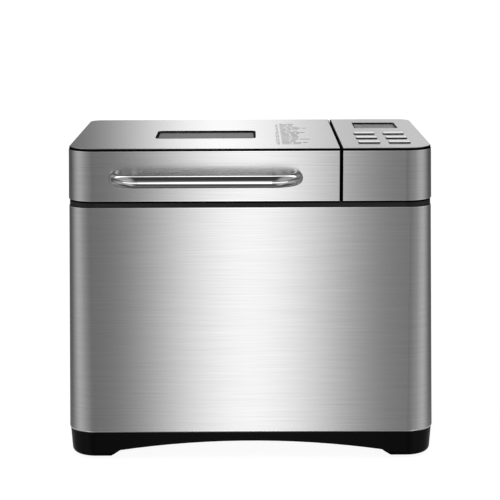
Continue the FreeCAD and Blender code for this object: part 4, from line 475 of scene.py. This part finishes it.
def brushed_steel(name, across, roughness, edges=()):
    """Steel brushed along its width. across is the direction over the brush lines, in the piece's own axes.

    edges are the heights at which the sheet ends, where highlights are painted along it.
    """
    material, tree, shader = principled(name, STEEL_LIGHT, roughness, metallic=1.0)
    fine = [STREAKS_ALONG + STREAKS_ACROSS * part for part in across]
    broad = [BANDS_ALONG + BANDS_ACROSS * part for part in across]
    streaks = stretched_noise(tree, fine, detail=1.0)
    bands = stretched_noise(tree, broad, detail=2.0)
    swing = math_node(tree, "SUBTRACT", bands, MEAN_NOISE)
    both = math_node(tree, "MULTIPLY_ADD", swing, BAND_SHARE, streaks)
    tint(tree, shader, both, STEEL_DARK, STEEL_LIGHT, STEEL_RANGE)
    # Painted highlights along the ends of the sheet.
    if edges:
        paint_edge_highlights(tree, shader, edges)
    vary_roughness(tree, shader, bands, spread=0.004)
    shader.inputs["Anisotropic"].default_value = 1.0
    tangent = tree.nodes.new("ShaderNodeVectorTransform")
    tangent.vector_type = "VECTOR"
    tangent.convert_from = "OBJECT"
    tangent.convert_to = "WORLD"
    tangent.inputs[0].default_value = across
    tree.links.new(tangent.outputs[0], shader.inputs["Tangent"])
    return material


def chrome():
    """Bright plating with faint smudges."""
    material, tree, shader = principled("chrome", CHROME_LIGHT, roughness=0.065, metallic=1.0)
    smudges = noise(tree, scale=40.0, detail=3.0)
    tint(tree, shader, smudges, CHROME_DARK, CHROME_LIGHT)
    vary_roughness(tree, shader, smudges, spread=0.025)
    return material


def moulded_plastic(name, dark, light, roughness, specular):
    """Moulded plastic or rubber with a fine spark-eroded grain and a slow change of tone."""
    material, tree, shader = principled(name, light, roughness, specular=specular)
    grain = noise(tree, scale=1800.0, detail=2.0)
    tint(tree, shader, noise(tree, scale=30.0, detail=3.0), dark, light)
    vary_roughness(tree, shader, grain, spread=0.05)
    emboss(tree, shader, grain, strength=0.12, depth=0.06 * MM)
    return material


def plain_metal(name, dark, light, roughness, scale):
    """Cast, plated or rolled metal with a mottled surface."""
    material, tree, shader = principled(name, light, roughness, metallic=1.0)
    mottle = noise(tree, scale, detail=4.0)
    tint(tree, shader, mottle, dark, light)
    vary_roughness(tree, shader, mottle, spread=0.06)
    emboss(tree, shader, mottle, strength=0.15, depth=0.03 * MM)
    return material


def nonstick():
    """Dark coating with pale specks and a pebbled skin."""
    material, tree, shader = principled("nonstick_coat", NONSTICK_DARK, roughness=0.35)
    specks = noise(tree, scale=900.0, detail=1.0)
    tint(tree, shader, specks, NONSTICK_DARK, NONSTICK_SPECK, SPECK_RANGE)
    skin = noise(tree, scale=500.0, detail=2.0)
    vary_roughness(tree, shader, skin, spread=0.05)
    emboss(tree, shader, skin, strength=0.2, depth=0.05 * MM)
    return material


def smoked_glass(name, dark, light, clear, index):
    """Grey glass with a non-glare coat and a faint film of dust.

    clear is the share of light that passes through, and index the coat's index of refraction.
    """
    material, tree, shader = principled(name, light, roughness=0.11)
    shader.inputs["Transmission Weight"].default_value = clear
    shader.inputs["IOR"].default_value = index
    dust = noise(tree, scale=60.0, detail=3.0)
    tint(tree, shader, dust, dark, light)
    vary_roughness(tree, shader, dust, spread=0.03)
    return material


def display_grey():
    """The blank panel behind the display lens, a little uneven in its tone."""
    material, tree, shader = principled("display_grey", DISPLAY_LIGHT, roughness=0.5)
    tint(tree, shader, noise(tree, scale=25.0, detail=2.0), DISPLAY_DARK, DISPLAY_LIGHT)
    return material


def button_paint_and_side_shade(top):
    """Silver paint on the top face, and black below it, painted as the shade on the button's sides."""
    material, tree, shader = principled("button_paint_and_side_shade", BUTTON_SILVER, roughness=0.36)
    painted = smooth_step(tree, own_height(tree), top - PAINT_END, top - PAINT_FULL)
    flakes = smooth_step(tree, noise(tree, scale=2500.0, detail=2.0), *NOISE_RANGE, FLAKE_SHADE, 1.0)
    shade = math_node(tree, "MULTIPLY", painted, flakes)
    # Below the silver paint, the sides are painted black as their shade.
    tint(tree, shader, shade, BUTTON_SIDE_SHADE, BUTTON_SILVER, WHOLE_RANGE)
    return material


def circuit_board():
    """Green board with the pattern of its tracks."""
    material, tree, shader = principled("green_board", BOARD_LIGHT, roughness=0.45)
    tracks = noise(tree, scale=160.0, detail=0.0)
    tint(tree, shader, tracks, BOARD_DARK, BOARD_LIGHT, TRACK_RANGE)
    emboss(tree, shader, tracks, strength=0.2, depth=0.04 * MM)
    return material


def ink(name, dark, light):
    """Printed ink, a little uneven in its tone."""
    material, tree, shader = principled(name, light, roughness=0.6, specular=0.05)
    patches = noise(tree, scale=700.0, detail=3.0)
    tint(tree, shader, patches, dark, light)
    vary_roughness(tree, shader, patches, spread=0.05)
    return material


def add_piece(name, shape, material, body):
    """Puts a finished printed mesh into the scene and lets it ride on a body."""
    mesh = bpy.data.meshes.new(name)
    shape.to_mesh(mesh)
    shape.free()
    mesh.materials.append(material)
    piece = bpy.data.objects.new(name, mesh)
    scene.collection.objects.link(piece)
    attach(piece, body)


def add_bar(shape, left, right, front, rear, low, high):
    """Adds one closed bar to a mesh."""
    corner = Vector((left, front, low))
    size = Vector((right, rear, high)) - corner
    place = Matrix.Translation(corner + size / 2) @ Matrix.Diagonal((*size, 1.0))
    bmesh.ops.create_cube(shape, size=1.0, matrix=place)


def add_digit(shape, digit, left, front, level):
    """Adds one digit made of straight strokes."""
    half = DIGIT_HEIGHT / 2
    for stroke in DIGIT_STROKES[digit]:
        across, low, high = STROKE_PLACES[stroke]
        if across is None:
            middle = front + low * half
            sides = (left, left + DIGIT_WIDTH, middle - STROKE / 2, middle + STROKE / 2)
        else:
            middle = left + across * DIGIT_WIDTH
            sides = (middle - STROKE / 2, middle + STROKE / 2, front + low * half, front + high * half)
        add_bar(shape, *sides, level, level + INK_THICKNESS)


def menu_print():
    """The list printed on the lid: numbers, each with a row of plain bars."""
    shape = bmesh.new()
    chance = random.Random(MENU_SEED)
    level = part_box("lid_top_plate")[1].z
    for row in range(MENU_ROWS):
        front = MENU_REAR - row * MENU_PITCH
        left = MENU_NUMBER_END
        for digit in reversed(str(row + 1)):
            left -= DIGIT_WIDTH
            add_digit(shape, digit, left, front, level)
            left -= DIGIT_GAP
        end = chance.uniform(*MENU_ENDS)
        start = MENU_BARS
        middle = front + DIGIT_HEIGHT / 2
        while start < end - MENU_SHORTEST:
            stop = min(start + chance.uniform(MENU_SHORTEST, MENU_LONGEST), end)
            sides = (start, stop, middle - MENU_BAR_HEIGHT / 2, middle + MENU_BAR_HEIGHT / 2)
            add_bar(shape, *sides, level, level + INK_THICKNESS)
            start = stop + MENU_SPACE
    add_piece("menu_print", shape, ink("menu_ink", *MENU_INK), "lid")


def rounded_loop(left, right, front, rear, radius, level):
    """Points round a rectangle with round corners."""
    corners = ((right, rear, 0), (left, rear, 1), (left, front, 2), (right, front, 3))
    points = []
    for x, y, quarter in corners:
        centre_x = x - math.copysign(radius, x - (left + right) / 2)
        centre_y = y - math.copysign(radius, y - (front + rear) / 2)
        for step in range(CORNER_STEPS + 1):
            angle = math.pi / 2 * (quarter + step / CORNER_STEPS)
            points.append((centre_x + radius * math.cos(angle), centre_y + radius * math.sin(angle), level))
    return points


def display_mask():
    """The black border printed on the display lens."""
    low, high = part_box("display_lens")
    shape = bmesh.new()
    loops = []
    for inset, level in ((0.0, 0.0), (0.0, INK_THICKNESS), (MASK_WIDTH, INK_THICKNESS), (MASK_WIDTH, 0.0)):
        sides = (low.x + inset, high.x - inset, low.y + inset, high.y - inset)
        points = rounded_loop(*sides, MASK_RADIUS - inset, high.z + level)
        loops.append([shape.verts.new(point) for point in points])
    count = len(loops[0])
    for index, loop in enumerate(loops):
        following = loops[(index + 1) % len(loops)]
        for step in range(count):
            after = (step + 1) % count
            shape.faces.new((loop[step], loop[after], following[after], following[step]))
    add_piece("display_mask", shape, ink("mask_ink", *MASK_INK), "cabinet")


def dress(material, names):
    """Gives CAD nodes a finished material."""
    for name in names:
        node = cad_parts[name]
        for material_slot in node.material_slots:
            material_slot.material = material


def dress_frame():
    """Gives every CAD node its material."""
    # The heights where the steel sheets end, along which highlights are painted.
    edges = [corner.z for name in ("body_wrap", "lid_skirt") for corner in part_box(name)]
    edges[0] += HEM_RISE
    walls = brushed_steel("steel_walls", (0.0, 0.0, 1.0), WALL_ROUGHNESS, edges)
    dress(walls, ("body_wrap", "lid_skirt", "control_skirt"))
    tops = brushed_steel("steel_tops", (0.0, 1.0, 0.0), TOP_ROUGHNESS)
    dress(tops, ("lid_top_plate", "control_fascia"))
    dress(chrome(), ("lid_handle",))
    for name, dark, light, roughness, specular, nodes in PLASTICS:
        dress(moulded_plastic(name, dark, light, roughness, specular), nodes)
    for name, dark, light, roughness, scale, nodes in METALS:
        dress(plain_metal(name, dark, light, roughness, scale), nodes)
    for name, dark, light, clear, index, nodes in PANES:
        dress(smoked_glass(name, dark, light, clear, index), nodes)
    dress(display_grey(), ("display_module",))
    buttons = [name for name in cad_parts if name.endswith("_button")]
    dress(button_paint_and_side_shade(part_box("menu_button")[1].z), buttons)
    dress(nonstick(), ("bread_pan", "kneading_paddle"))
    dress(circuit_board(), ("power_board", "control_board"))


scene.view_settings.view_transform = "Standard"
studio_world()
add_floor()
add_key_light()
add_panels()
add_camera()
dress_frame()
menu_print()
display_mask()
